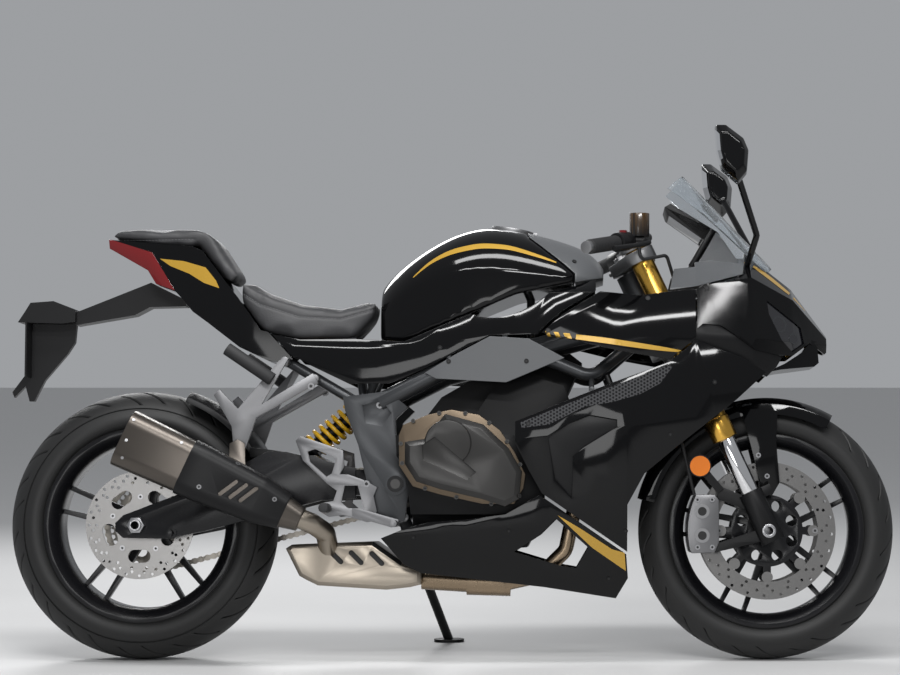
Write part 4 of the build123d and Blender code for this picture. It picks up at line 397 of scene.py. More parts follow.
# Smooth shading with hard edges where faces meet at more than the angle.
def sharpen(mesh, angle):
    bm = bmesh.new()
    bm.from_mesh(mesh)
    for face in bm.faces:
        face.smooth = True
    for edge in bm.edges:
        edge.smooth = len(edge.link_faces) == 2 and edge.calc_face_angle() < math.radians(angle)
    bm.to_mesh(mesh)
    bm.free()


# Bevels in millimetres. Angles in degrees: faces that count as one, edges that are rounded, and edges that
# stay hard after that, on soft forms and on treads.
edgeSettings = {
    "bevel": 1.2, "segments": 2, "flat": 0.6, "angle": 32, "bevelled": 50, "soft": 60, "tread": 34,
}
bevels = {
    "shock_spring": 0, "front_discs": 0, "rear_disc": 0, "brake_hoses": 0, "nose_cowl": 0.8,
    "upper_panels": 0.8, "side_fairings": 0.8, "belly_pans": 0.8, "front_rim": 2.0, "rear_rim": 2.0,
    "windscreen": 0.6, "engine_covers": 2.5, "frame": 1.5, "tank_cover": 2.0,
}
# Flat forms keep large faces flat and bend only over their rounded edges.
flatForms = ("nose_cowl", "headlights", "plate_hanger", "tail_cowl", "cockpit_deck", "side_covers")
softForms = {"fuel_tank": {"voxel": 0.0045, "passes": 24}, "mirrors": {"voxel": 0.003, "passes": 5}}


# Shows a CAD node with rounded edges and smooth shading.
def dress(node, material):
    form = mergedForm(node)
    bevel = bevels.get(node, edgeSettings["bevel"])
    angle = edgeSettings["angle"]
    if bevel:
        flat = math.radians(edgeSettings["flat"])
        bmesh.ops.dissolve_limit(form, angle_limit=flat, verts=form.verts, edges=form.edges)
    mesh = meshFrom(form, node + "Dressed")
    if bevel:
        rounding = {
            "width": bevel / 1000, "segments": edgeSettings["segments"], "limit_method": "ANGLE",
            "angle_limit": math.radians(angle), "use_clamp_overlap": True,
        }
        mesh = reshaped(mesh, ("BEVEL", rounding))
        angle = edgeSettings["bevelled"]
    sharpen(mesh, angle)
    if node in flatForms:
        mesh = reshaped(mesh, ("WEIGHTED_NORMAL", {"keep_sharp": True}))
    return standIn(node, "Dressed", mesh, material)


# Shows a CAD node with a softly rounded skin, for pressed and moulded forms.
def soften(node, material):
    settings = softForms[node]
    mesh = mergedMesh(node, node + "Softened")
    mesh = reshaped(mesh, voxelStep(settings["voxel"]), smoothStep(settings["passes"]))
    sharpen(mesh, edgeSettings["soft"])
    return standIn(node, "Softened", mesh, material)


# The tread's grid: rows across, columns between grooves, a groove's sloped wall as a share of its half width,
# and lengths in metres. Shares of the crown's radius pick the points of the tread.
treadSettings = {
    "rows": 48, "between": (0.15, 0.25, 0.35), "wall": 0.3, "sweep": 0.25, "fade": 0.004, "inset": 0.0001,
    "under": 0.002, "profileFrom": 0.86, "drawnFrom": 0.9,
}


# Radius of a tyre's outline at a place across it.
def radiusAt(profile, side):
    for (sideA, radiusA), (sideB, radiusB) in zip(profile, profile[1:]):
        if sideA <= side <= sideB:
            return radiusA + (radiusB - radiusA) * (side - sideA) / max(sideB - sideA, 1e-6)
    return profile[0][1] if side < 0 else profile[-1][1]


# Lines across the tread in one repeat: phase, whether it is sunk, and where its groove starts and ends.
def treadColumns(grooves):
    columns = []
    for phase, width, near, far in grooves:
        edge = width * treadSettings["wall"]
        for shift, sunk in ((-width, 0), (-width + edge, 1), (width - edge, 1), (width, 0)):
            columns.append((phase + shift, sunk, near, far))
        columns += [(phase + share, 0, near, far) for share in treadSettings["between"]]
    return sorted(columns)


# A tyre whose tread is a slanted grid of its own, with the grooves sunk in it and their floors painted near black
# as shade.
def carveTyre(node, material):
    settings = tyreSettings[node]
    centre, band, depth = rowPoint(*settings["centre"]), settings["band"], settings["depth"]
    across, ahead, upward = rowTurn(0, 1, 0), rowTurn(1, 0, 0), rowTurn(0, 0, 1)
    bm = mergedForm(node)
    outline = {}
    for vertex in bm.verts:
        offset = vertex.co - centre
        side = round(offset.dot(across), 4)
        outline[side] = max(outline.get(side, 0), math.hypot(offset.dot(ahead), offset.dot(upward)))
    crown = max(outline.values())
    least = treadSettings["profileFrom"] * crown
    profile = sorted((side, radius) for side, radius in outline.items() if radius > least)
    for vertex in bm.verts:
        offset = vertex.co - centre
        side = offset.dot(across)
        outward = offset - across * side
        if abs(side) < band and outward.length > treadSettings["drawnFrom"] * crown:
            vertex.co -= outward.normalized() * (depth + treadSettings["under"])
    rows = treadSettings["rows"]
    places = [band * (2 * n / rows - 1) for n in range(rows + 1)]
    radii = [radiusAt(profile, side) - treadSettings["inset"] for side in places]
    first = min(groove[2] for groove in settings["grooves"])
    grid = []
    for repeat in range(settings["repeats"]):
        for phase, sunk, near, far in treadColumns(settings["grooves"]):
            line = []
            for side, radius in zip(places, radii):
                sweep = treadSettings["sweep"] * max(-1.0, min(1.0, side / first))
                lean = settings["slope"] * abs(side) + sweep
                angle = (repeat + phase - lean) * 2 * math.pi / settings["repeats"]
                fade = min(abs(side) - near, far - abs(side)) / treadSettings["fade"]
                spoke = ahead * math.cos(angle) + upward * math.sin(angle)
                reach = radius - depth * sunk * max(0.0, min(1.0, fade))
                line.append(bm.verts.new(centre + spoke * reach + across * side))
            grid.append((line, sunk, near, far))
    treadFaces = []
    for (line, sunk, near, far), (nextLine, nextSunk, *_) in zip(grid, grid[1:] + grid[:1]):
        for n in range(rows):
            face = bm.faces.new((line[n], nextLine[n], nextLine[n + 1], line[n + 1]))
            treadFaces.append(face)
            middle = abs(places[n] + places[n + 1]) / 2
            face.material_index = 1 if sunk and nextSunk and near < middle < far else 0
    bm.normal_update()
    strip = treadFaces[rows // 2]
    if strip.normal.dot(strip.calc_center_median() - centre) < 0:
        bmesh.ops.reverse_faces(bm, faces=treadFaces)
    mesh = meshFrom(bm, node + "Dressed")
    sharpen(mesh, edgeSettings["tread"])
    kinds = [face.material_index for face in mesh.polygons]
    made = standIn(node, "Dressed", mesh, material)
    # The groove floors get the painted-shade material.
    mesh.materials.append(paint["grooveDark"])
    for face, kind in zip(mesh.polygons, kinds):
        face.material_index = kind
    return made


finishes = {
    "glossBlack": [
        "nose_cowl", "upper_panels", "side_fairings", "belly_pans", "fuel_tank", "tail_cowl",
        "front_mudguard", "mirrors",
    ],
    "satinGrey": ["tank_cover", "side_covers", "cockpit_deck"],
    "satinBlack": [
        "vent_inserts", "plate_hanger", "rear_hugger", "instrument_panel", "silencer_shield", "fork_bottoms",
        "fairing_stay", "radiator", "shock_absorber", "hand_controls", "side_stand",
    ],
    "frameGrey": ["frame"],
    "rimBlack": ["front_rim", "rear_rim", "swingarm"],
    "engineBlack": ["engine"],
    "coverGrey": ["engine_covers"],
    "frontTread": ["front_tyre"],
    "rearTread": ["rear_tyre"],
    "discSteel": ["front_discs", "rear_disc"],
    "axleSteel": ["front_axle", "rear_axle"],
    "chainSteel": ["rear_sprocket"],
    "castSilver": ["yokes", "handlebars", "fuel_filler", "fuel_cap"],
    "footSilver": ["foot_brackets", "foot_levers", "front_calipers", "rear_caliper"],
    "anodGold": ["fork_tubes"],
    "springGold": ["shock_spring"],
    "chromeMetal": ["fork_sliders"],
    "gripRubber": ["grips", "foot_pegs"],
    "hoseRubber": ["brake_hoses"],
    "bronzeMetal": ["exhaust_headers"],
    "shieldMetal": ["exhaust_chamber"],
    "silencerMetal": ["silencer"],
    "screenClear": ["windscreen"],
    "lampDark": ["headlights"],
    "lampRed": ["tail_light"],
}
dressed = {}
for finishName, names in finishes.items():
    for node in names:
        maker = carveTyre if node in tyreSettings else soften if node in softForms else dress
        dressed[node] = maker(node, finishName)

# Ranges on the bike whose faces get another material; the last one leaves level faces out.
repaints = (
    {"node": "engine_covers", "material": "casingBronze", "y": (-187.5, -160)},
    {
        "node": "exhaust_chamber", "material": "recessDark", "x": (425, 585), "y": (-111.6, -106.2),
        "z": (215, 262),
    },
    # The exhaust chamber's recess is painted near black as shade.
    {
        "node": "hand_controls", "material": "amberPlastic", "y": (-math.inf, -150), "z": (1006, 1040),
        "level": 0.9,
    },
)
for settings in repaints:
    mesh = dressed[settings["node"]].data
    mesh.materials.append(paint[settings["material"]])
    ranges = [(axis, settings[axis]) for axis in "xyz" if axis in settings]
    for face in mesh.polygons:
        place = (toBike @ face.center) * 1000
        level = abs((upright @ face.normal).z)
        within = all(low < getattr(place, axis) < high for axis, (low, high) in ranges)
        if within and level < settings.get("level", math.inf):
            face.material_index = len(mesh.materials) - 1

displaySettings = {"node": "instrument_panel", "rim": 0.007, "sunk": 0.0008, "facing": -0.35}


# The glass of the display: the largest face turned to the rider, set in from its rim.
def addDisplay():
    mesh = dressed[displaySettings["node"]].data
    mesh.materials.append(paint["displayDark"])
    bm = bmesh.new()
    bm.from_mesh(mesh)
    bm.normal_update()
    facing = [face for face in bm.faces if (upright @ face.normal).x < displaySettings["facing"]]
    screen = max(facing, key=lambda face: face.calc_area())
    rim, depth = displaySettings["rim"], -displaySettings["sunk"]
    bmesh.ops.inset_individual(bm, faces=[screen], thickness=rim, depth=depth)
    screen.material_index = len(mesh.materials) - 1
    bm.to_mesh(mesh)
    bm.free()


addDisplay()

print("marks on the panels")
trees = {}


# Place, normal and distance where a line from one side of the bike meets a node, or None.
def surfaceAt(node, x, z, side):
    if node not in trees:
        trees[node] = treeOf(dressed[node].data) if node in softForms else nodeTree(node)
    start = rowPoint(x, side * stance["outside"], z)
    place, normal, _, distance = trees[node].ray_cast(start, rowTurn(0, -side, 0))
    return None if place is None else (place, normal, distance)


# What marks share where their own settings don't say otherwise. Step and edge are in millimetres.
markSettings = {"material": "stripeGold", "rise": 0.0006, "step": 7.0, "edge": 12.0}
laneShares = (-0.5, -0.17, 0.17, 0.5)


# A line from rows of x, z and width, drawn flat; gives its lanes.
def drawLine(bm, settings):
    points = []
    for start, end in zip(settings["line"], settings["line"][1:]):
        steps = max(1, int(math.hypot(end[0] - start[0], end[1] - start[1]) / settings["step"]))
        points += [[a + (b - a) * n / steps for a, b in zip(start, end)] for n in range(steps)]
    points.append(list(settings["line"][-1]))
    lines = []
    for n, (x, z, width) in enumerate(points):
        before, after = points[max(n - 1, 0)], points[min(n + 1, len(points) - 1)]
        run = Vector((after[0] - before[0], after[1] - before[1])).normalized()
        spots = [(x - run.y * width * share, z + run.x * width * share, 0) for share in laneShares]
        lines.append([bm.verts.new(spot) for spot in spots])
    for first, second in zip(lines, lines[1:]):
        for n in range(len(laneShares) - 1):
            bm.faces.new((first[n], second[n], second[n + 1], first[n + 1]))
    return [list(lane) for lane in zip(*lines)]


# A field from its outline in x and z, drawn flat and cut into small faces; it has no lanes.
def drawField(bm, settings, rounds=7):
    face = bm.faces.new([bm.verts.new((x, z, 0)) for x, z in settings["outline"]])
    bmesh.ops.triangulate(bm, faces=[face])
    for _ in range(rounds):
        longOnes = [edge for edge in bm.edges if edge.calc_length() > settings["edge"]]
        if not longOnes:
            break
        bmesh.ops.subdivide_edges(bm, edges=longOnes, cuts=1)
        bmesh.ops.triangulate(bm, faces=bm.faces[:])
    return []


# Lays a flat mark on a panel. A point that misses it keeps the distance of the last hit.
def settle(bm, node, side, rise, distance=0.25):
    for vertex in bm.verts:
        x, z = vertex.co.x, vertex.co.y
        hit = surfaceAt(node, x, z, side)
        if hit:
            place, normal, distance = hit
            vertex.co = place + normal * rise
        else:
            vertex.co = rowPoint(x, side * stance["outside"], z) + rowTurn(0, -side, 0) * distance


# Evens a line out along its run and lays it back on the panel.
def evenOut(lanes, node, rise, passes=12):
    for _ in range(passes):
        for lane in lanes:
            moved = [(a.co + b.co * 2 + c.co) / 4 for a, b, c in zip(lane, lane[1:], lane[2:])]
            for vertex, place in zip(lane[1:-1], moved):
                vertex.co = place
    for vertex in (vertex for lane in lanes for vertex in lane):
        place, normal, *_ = trees[node].find_nearest(vertex.co)
        vertex.co = place + normal * rise


# A painted mark that follows a panel.
def addMark(name, side, settings):
    node, rise = settings["node"], settings["rise"]
    bm = bmesh.new()
    lanes = drawLine(bm, settings) if "line" in settings else drawField(bm, settings)
    settle(bm, node, side, rise)
    evenOut(lanes, node, rise)
    faceToward(bm, rowTurn(0, side, 0))
    mesh = meshFrom(bm, name)
    smoothShade(mesh)
    plainObject(name, mesh, settings["material"], bodyOf[node])


dashSettings = {"slant": 3, "heights": (-6, -7, 5, 6), "edge": 6.0}


# A short slanted mark in front of the bar, from its middle and width.
def dash(x, z, width):
    half, slant = width / 2, dashSettings["slant"]
    corners = (slant - half, slant + half, half - slant, -half - slant)
    outline = [(x + corner, z + height) for corner, height in zip(corners, dashSettings["heights"])]
    return {"node": "upper_panels", "outline": outline, "edge": dashSettings["edge"]}


marks = {
    "tankStripe": {
        "node": "fuel_tank",
        "line": [
            (634, 889, 2), (674, 925, 7), (721, 948, 12), (790, 962, 13), (860, 957, 11), (930, 935, 7),
            (968, 921, 3),
        ],
    },
    "barStripe": {
        "node": "upper_panels",
        "line": [(1014, 745, 11), (1070, 738, 13), (1162, 724, 12), (1225, 715, 9), (1256, 711, 4)],
    },
    "dash0": dash(950, 753, 8),
    "dash1": dash(971, 751, 11),
    "dash2": dash(995, 748, 15),
    "tailFlash": {
        "node": "tail_cowl",
        "outline": [
            (38, 936), (96, 929), (149, 913), (174, 882), (182, 864), (145, 877), (110, 899), (64, 918),
        ],
    },
    "bellyFlash": {
        "node": "belly_pans",
        "outline": [(972, 336), (1024, 306), (1097, 258), (1126, 250), (1129, 208), (1097, 230), (1051, 262)],
    },
    "noseStripe": {
        "node": "nose_cowl",
        "line": [
            (1408, 926, 3), (1430, 916, 8), (1461, 896, 11), (1496, 868, 9), (1529, 838, 5), (1552, 816, 2),
        ],
    },
    "meshField": {
        "node": "side_fairings", "material": "meshPrint", "rise": 0.0004,
        "outline": [
            (887, 548), (1047, 611), (1218, 676), (1236, 676), (1207, 637), (1161, 612), (1097, 594),
            (1035, 584), (990, 562), (953, 543), (890, 535),
        ],
    },
}
for side, sideName in bikeSides:
    for name, settings in marks.items():
        addMark(name + sideName, side, {**markSettings, **settings})

print("seats")
seatSettings = {
    "rider_seat": {
        "shrink": 0.004, "cap": 0.006, "calm": 14,
        "seam": [(214, 866), (277, 826), (371, 796), (464, 792), (540, 816)],
    },
    "pillion_seat": {"shrink": 0.003, "cap": 0.005, "calm": 12, "seam": [(-78, 984), (16, 980), (118, 981)]},
}
padSettings = {"voxel": 0.006, "passes": 8, "pressure": 3.0, "stiffness": 40, "frames": 20}


# Swells a pad's skin by air and holds each point within a cap.
def swell(mesh, cap):
    rest = [vertex.co.copy() for vertex in mesh.vertices]
    work = workObject(mesh)
    cloth = work.modifiers.new("cloth", "CLOTH")
    cloth.settings.use_pressure = True
    cloth.settings.uniform_pressure_force = padSettings["pressure"]
    cloth.settings.effector_weights.gravity = 0.0
    cloth.settings.tension_stiffness = padSettings["stiffness"]
    cloth.settings.compression_stiffness = padSettings["stiffness"]
    cloth.point_cache.frame_start = 1
    cloth.point_cache.frame_end = padSettings["frames"]
    for step in range(1, padSettings["frames"] + 1):
        scene.frame_set(step)
    mesh = baked(work)
    scene.frame_set(1)
    for vertex, start in zip(mesh.vertices, rest):
        move = vertex.co - start
        if move.length > cap:
            vertex.co = start + move * (cap / move.length)
    return mesh


# A crowned pad: the CAD form drawn in a little, rounded, swollen and smoothed.
def padSeat(node, settings):
    bm = mergedForm(node)
    bm.normal_update()
    for vertex in bm.verts:
        vertex.co -= vertex.normal * settings["shrink"]
    mesh = meshFrom(bm, node + "Pad")
    mesh = reshaped(mesh, voxelStep(padSettings["voxel"]), smoothStep(padSettings["passes"]))
    mesh = swell(mesh, settings["cap"])
    mesh = reshaped(mesh, smoothStep(settings["calm"]), ("SUBSURF", {"levels": 1, "render_levels": 1}))
    smoothShade(mesh)
    made = standIn(node, "Pad", mesh, "seatCover")
    return made


pads = {node: padSeat(node, settings) for node, settings in seatSettings.items()}

print("bolts and small repeats")


def joined(tree, *geometry):
    node = tree.nodes.new("GeometryNodeJoinGeometry")
    for piece in geometry:
        tree.links.new(piece, node.inputs["Geometry"])
    return node.outputs["Geometry"]


# What heads share where a group doesn't say otherwise.
headSettings = {
    # The default recess is painted shade: near black where a socket's hole would lie in shade.
    "metal": "axleSteel", "recess": "recessDark", "sides": 16, "socket": 0.5, "socketSides": 6,
}
# A socket stands a little proud of its head; the largest spin is in radians.
headShape = {"proud": 1.04, "spin": 6.28}


# Instances of a round head with a socket at each point, turned to the point's facing. The socket is a flat disc in
# the recess material, which by default is near black as painted shade.
def makeHeads():
    inputs = [
        ("Geometry", "NodeSocketGeometry", None),
        ("Radius", "NodeSocketFloat", 0.005),
        ("Height", "NodeSocketFloat", 0.004),
        ("Sides", "NodeSocketInt", 16),
        ("Socket", "NodeSocketFloat", 0.5),
        ("Socket Sides", "NodeSocketInt", 6),
        ("Metal", "NodeSocketMaterial", None),
        ("Recess", "NodeSocketMaterial", None),
        ("Seed", "NodeSocketInt", 7),
    ]
    tree, start, end = newGroup("boltHeads", inputs, [("Geometry", "NodeSocketGeometry")], "GeometryNodeTree")
    given = start.outputs
    sizes = {"Vertices": given["Sides"], "Radius": given["Radius"], "Depth": given["Height"]}
    head = addNode(tree, "GeometryNodeMeshCylinder", sizes)
    holeSizes = {
        "Vertices": given["Socket Sides"],
        "Radius": mathNode(tree, "MULTIPLY", given["Radius"], given["Socket"]),
        "Depth": mathNode(tree, "MULTIPLY", given["Height"], headShape["proud"]),
    }
    hole = addNode(tree, "GeometryNodeMeshCylinder", holeSizes)
    marked = tree.nodes.new("GeometryNodeCaptureAttribute")
    marked.domain = "FACE"
    marked.capture_items.new("BOOLEAN", "Sunk")
    feed(tree, marked.inputs["Geometry"], hole.outputs["Mesh"])
    feed(tree, marked.inputs["Sunk"], True)
    facing = addNode(tree, "GeometryNodeInputNamedAttribute", {"Name": "facing"}, data_type="FLOAT_VECTOR")
    draws = {"Max": headShape["spin"], "Seed": given["Seed"]}
    spin = addNode(tree, "FunctionNodeRandomValue", draws, data_type="FLOAT")
    faces = {"Vector": facing.outputs["Attribute"]}
    aligned = addNode(tree, "FunctionNodeAlignRotationToVector", faces, axis="Z")
    around = addNode(tree, "FunctionNodeAxisAngleToRotation", {"Axis": (0, 0, 1), "Angle": spin.outputs[1]})
    turns = {"Rotation": aligned.outputs["Rotation"], "Rotate By": around.outputs["Rotation"]}
    turned = addNode(tree, "FunctionNodeRotateRotation", turns, rotation_space="LOCAL")
    points = addNode(tree, "GeometryNodeMeshToPoints", {"Mesh": given["Geometry"]})
    whole = joined(tree, head.outputs["Mesh"], marked.outputs["Geometry"])
    rows = {"Points": points.outputs["Points"], "Instance": whole, "Rotation": turned.outputs["Rotation"]}
    placed = addNode(tree, "GeometryNodeInstanceOnPoints", rows)
    real = addNode(tree, "GeometryNodeRealizeInstances", {"Geometry": placed.outputs["Instances"]})
    coated = {"Geometry": real.outputs["Geometry"], "Material": given["Metal"]}
    metal = addNode(tree, "GeometryNodeSetMaterial", coated)
    sunk = {
        "Geometry": metal.outputs["Geometry"], "Selection": marked.outputs["Sunk"],
        "Material": given["Recess"],
    }
    recess = addNode(tree, "GeometryNodeSetMaterial", sunk)
    feed(tree, end.inputs["Geometry"], recess.outputs["Geometry"])
    return tree


headTree = makeHeads()


def setInputs(maker, settings):
    for item in maker.node_group.interface.items_tree:
        if item.in_out == "INPUT" and item.name in settings:
            maker[item.identifier] = settings[item.name]


# One mesh of heads for a body, from rows of place and facing in the row's frame; sizes are in millimetres.
def heads(name, body, rows, settings):
    settings = {**headSettings, **settings}
    mesh = bpy.data.meshes.new(name)
    mesh.from_pydata([tuple(place) for place, direction in rows], [], [])
    facing = mesh.attributes.new("facing", "FLOAT_VECTOR", "POINT")
    for n, (place, direction) in enumerate(rows):
        facing.data[n].vector = direction
    work = workObject(mesh)
    maker = work.modifiers.new("heads", "NODES")
    maker.node_group = headTree
    inputs = {
        "Radius": settings["radius"] / 1000, "Height": settings["height"] / 1000, "Sides": settings["sides"],
        "Socket": settings["socket"], "Socket Sides": settings["socketSides"],
        "Metal": paint[settings["metal"]], "Recess": paint[settings["recess"]],
    }
    setInputs(maker, inputs)
    work.update_tag()
    made = bpy.data.objects.new(name, baked(work))
    scene.collection.objects.link(made)
    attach(made, body)


# Rows for heads on what a side view shows at some places.
def onSides(node, sides, places):
    hits = [surfaceAt(node, x, z, side) for side in sides for x, z in places]
    return [(hit[0], hit[1]) for hit in hits if hit]


seamSettings = {"reach": 5.0, "depth": 0.0018, "gap": 7.5, "level": 0.25, "rise": 0.0002}
stitchSettings = {"radius": 0.8, "height": 4.6, "metal": "stitchGrey", "recess": "stitchGrey", "sides": 6}


# A sewn line along each side of a pad: a shallow groove with stitches in it.
def sewSeam(node, pad, path):
    mesh = pad.data
    segments = [(Vector(a), Vector(b)) for a, b in zip(path, path[1:])]
    for vertex in mesh.vertices:
        if abs((upright @ vertex.normal).y) < seamSettings["level"]:
            continue
        place = (toBike @ vertex.co) * 1000
        spot = Vector((place.x, place.z))
        away = seamSettings["reach"]
        for first, second in segments:
            run = second - first
            share = min(max((spot - first).dot(run) / run.length_squared, 0), 1)
            away = min(away, (spot - first.lerp(second, share)).length)
        if away < seamSettings["reach"]:
            vertex.co -= vertex.normal * seamSettings["depth"] * (1 - away / seamSettings["reach"])
    trees[pad.name] = treeOf(mesh)
    rows = []
    for side in (-1, 1):
        for first, second in segments:
            run = (second - first).normalized()
            count = max(1, int((second - first).length / seamSettings["gap"]))
            for n in range(count):
                x, z = first.lerp(second, (n + 0.5) / count)
                hit = surfaceAt(pad.name, x, z, side)
                if hit:
                    rows.append((hit[0] + hit[1] * seamSettings["rise"], rowTurn(run.x, 0, run.y)))
    heads(node + "Stitches", bodyOf[node], rows, stitchSettings)


for node, pad in pads.items():
    sewSeam(node, pad, seatSettings[node]["seam"])

# Groups of heads on a node's sides: right is -1 and left is 1, places are in x and z.
both, right, left = (-1, 1), (-1,), (1,)
alternator = {"x": 788, "z": 425, "circle": 66, "bolts": 8, "step": 0.785}
alternatorTurns = [n * alternator["step"] for n in range(alternator["bolts"])]
alternatorRing = [
    (
        alternator["x"] + alternator["circle"] * math.cos(angle),
        alternator["z"] + alternator["circle"] * math.sin(angle),
    )
    for angle in alternatorTurns
]
boltGroups = {
    "panelBolts": {
        "radius": 5.5, "height": 2.4, "metal": "satinBlack",
        "rows": (
            ("upper_panels", both, ((950, 760), (1180, 835), (700, 722))),
            ("side_fairings", both, ((1332, 640), (1128, 300), (905, 545), (1230, 520))),
            ("belly_pans", both, ((640, 285), (860, 300), (1090, 190))),
            ("side_covers", both, ((720, 690), (900, 690))),
            ("tank_cover", both, ((1010, 925),)),
            ("nose_cowl", both, ((1316, 858), (1388, 880))),
        ),
    },
    "coverBolts": {
        "radius": 5.0, "height": 6.0, "metal": "coverGrey",
        "rows": (
            ("engine_covers", right, (
                (612, 500), (640, 552), (700, 570), (760, 570), (815, 548), (856, 505), (886, 452),
                (884, 380), (820, 362), (740, 377), (668, 397), (615, 455),
            )),
            ("engine_covers", left, alternatorRing),
        ),
    },
    "frameBolts": {
        "radius": 8.0, "height": 5.0, "metal": "footSilver",
        "rows": (
            ("foot_brackets", both, ((532, 408), (542, 332), (237, 489), (341, 660), (404, 632))),
            ("frame", both, ((560, 590), (600, 545))),
        ),
    },
    "pivotCaps": {
        "radius": 19.0, "height": 7.0, "metal": "satinBlack", "recess": "coverGrey", "sides": 28,
        "socket": 0.6, "socketSides": 28, "rows": (("frame", both, ((598, 408),)),),
    },
    "caliperBolts": {
        "radius": 6.0, "height": 5.0,
        "rows": (("front_calipers", both, ((1296, 372), (1296, 262), (1330, 372), (1330, 262))),),
    },
    "caliperPistons": {
        "radius": 17.0, "height": 5.0, "metal": "castSilver", "sides": 24, "socket": 0.6, "socketSides": 24,
        "rows": (("front_calipers", both, ((1307, 345), (1307, 289))),),
    },
    "silencerRivets": {
        "radius": 3.6, "height": 3.0, "recess": "axleSteel", "sides": 12,
        "rows": (("silencer", right, ((9, 552), (-6, 506), (-15, 466), (118, 500))),),
    },
    "shieldBolts": {
        "radius": 5.5, "height": 4.0, "metal": "footSilver",
        "rows": (("silencer_shield", right, ((160, 400), (245, 452), (330, 372))),),
    },
    "guardBolts": {
        "radius": 6.0, "height": 3.0, "rows": (("front_mudguard", both, ((1440, 476), (1460, 427))),),
    },
}
for name, settings in boltGroups.items():
    rows = [row for group in settings["rows"] for row in onSides(*group)]
    heads(name, bodyOf[settings["rows"][0][0]], rows, settings)

print("wheels, lamps and mirrors")
seatReach = {"above": 0.12, "most": 0.16}


# Seats each head on the node behind it, wherever the node's face lies.
def seatedRows(node, rows):
    tree = nodeTree(node)
    found = []
    for place, direction in rows:
        hit, _, _, distance = tree.ray_cast(place + direction * seatReach["above"], -direction)
        if hit is not None and distance < seatReach["most"]:
            found.append((hit, direction))
    return found


rearCentre = (0, stance["rearAxle"])
wheelHeads = {
    "discButtons": {
        "node": "front_discs", "centre": stance["frontAxle"], "circle": 112, "count": 10, "ys": (-76.5, 76.5),
        "first": 0.0, "radius": 6.5, "height": 3.0, "metal": "castSilver", "sides": 18,
    },
    "rearDiscBolts": {
        "node": "rear_disc", "centre": rearCentre, "circle": 66, "count": 5, "ys": (-100,), "first": 0.3,
        "radius": 6.0, "height": 4.0,
    },
    "sprocketBolts": {
        "node": "rear_sprocket", "centre": rearCentre, "circle": 42, "count": 6, "ys": (112,), "first": 0.2,
        "radius": 6.0, "height": 4.0,
    },
}
for name, settings in wheelHeads.items():
    rows = []
    for y in settings["ys"]:
        for n in range(settings["count"]):
            angle = settings["first"] + 2 * math.pi * n / settings["count"]
            x = settings["centre"][0] + settings["circle"] * math.cos(angle)
            z = settings["centre"][1] + settings["circle"] * math.sin(angle)
            rows.append((rowPoint(x, y, z), rowTurn(0, math.copysign(1, y), 0)))
    heads(name, bodyOf[settings["node"]], seatedRows(settings["node"], rows), settings)

switchSettings = {
    "place": (1122, -218, 970), "radius": 9.0, "height": 7.0, "metal": "lampRed", "recess": "lampRed",
    "sides": 8,
}
switchRow = [(rowPoint(*switchSettings["place"]), rowTurn(0, 0, 1))]
heads("stopSwitch", bodyOf["hand_controls"], seatedRows("hand_controls", switchRow), switchSettings)

capSettings = {
    "bolts": 6, "share": 0.74, "upward": 0.8,
    "boltHeads": {"radius": 3.2, "height": 2.0},
    "lockHead": {"radius": 8.0, "height": 1.6, "sides": 24, "socket": 0.3},
}


# A ring of small bolts and a lock on the fuel cap's top.
def capHeads():
    mesh = mergedMesh("fuel_cap", "trace")
    upward = [face for face in mesh.polygons if face.normal.z > capSettings["upward"]]
    facing = sum((face.normal * face.area for face in upward), Vector()).normalized()
    corners = [mesh.vertices[n].co for face in upward for n in face.vertices]
    low = Vector([min(corner[n] for corner in corners) for n in range(3)])
    high = Vector([max(corner[n] for corner in corners) for n in range(3)])
    middle, radius = (low + high) / 2, (high.y - low.y) / 2 * capSettings["share"]
    bpy.data.meshes.remove(mesh)
    ahead = facing.cross(Vector((0, 1, 0))).normalized()
    across = facing.cross(ahead)
    rows = []
    for n in range(capSettings["bolts"]):
        angle = 2 * math.pi * (n + 0.5) / capSettings["bolts"]
        rows.append((middle + ahead * radius * math.cos(angle) + across * radius * math.sin(angle), facing))
    heads("capBolts", "fuel_cap", seatedRows("fuel_cap", rows), capSettings["boltHeads"])
    heads("capLock", "fuel_cap", seatedRows("fuel_cap", [(middle, facing)]), capSettings["lockHead"])


capHeads()

# The glass follows the mirror's rear face: its edge in x and z about the middle, and rows of y and size.
mirrorSettings = {
    "middle": (1366, 1146),
    "edge": ((-39.5, 62), (-37.5, 30), (-35.8, 7), (-30, -18), (-26, -32)),
    "sections": ((296, 0.70), (318, 0.84), (340, 0.97), (362, 0.96), (382, 0.93), (396, 0.74)),
    "rise": 0.8,
    "squat": 0.9,
}
for side, sideName in bikeSides:
    bm = bmesh.new()
    grid = []
    for y, size in mirrorSettings["sections"]:
        row = []
        for dx, dz in mirrorSettings["edge"]:
            x = mirrorSettings["middle"][0] + size * dx
            z = mirrorSettings["middle"][1] + mirrorSettings["squat"] * size * dz
            row.append(bm.verts.new(rowPoint(x - mirrorSettings["rise"], side * y, z)))
        grid.append(row)
    for first, second in zip(grid, grid[1:]):
        for n in range(len(first) - 1):
            bm.faces.new((first[n], first[n + 1], second[n + 1], second[n]))
    faceToward(bm, Vector((-1, 0, 0)))
    name = "mirrorGlass" + sideName
    plainObject(name, meshFrom(bm, name), "mirrorGlass", "chassis")

lampSettings = {
    "places": {20: (1486, 778), 13: (1520, 745)}, "sunk": 0.0012, "height": 3.0, "metal": "lensBright",
    "recess": "lampDark", "sides": 32, "socket": 0.78, "socketSides": 32,
}
for radius, place in lampSettings["places"].items():
    found = onSides("headlights", both, [place])
    rows = [(spot - facing * lampSettings["sunk"], facing) for spot, facing in found]
    heads(f"lampLens{radius}", bodyOf["headlights"], rows, {**lampSettings, "radius": radius})

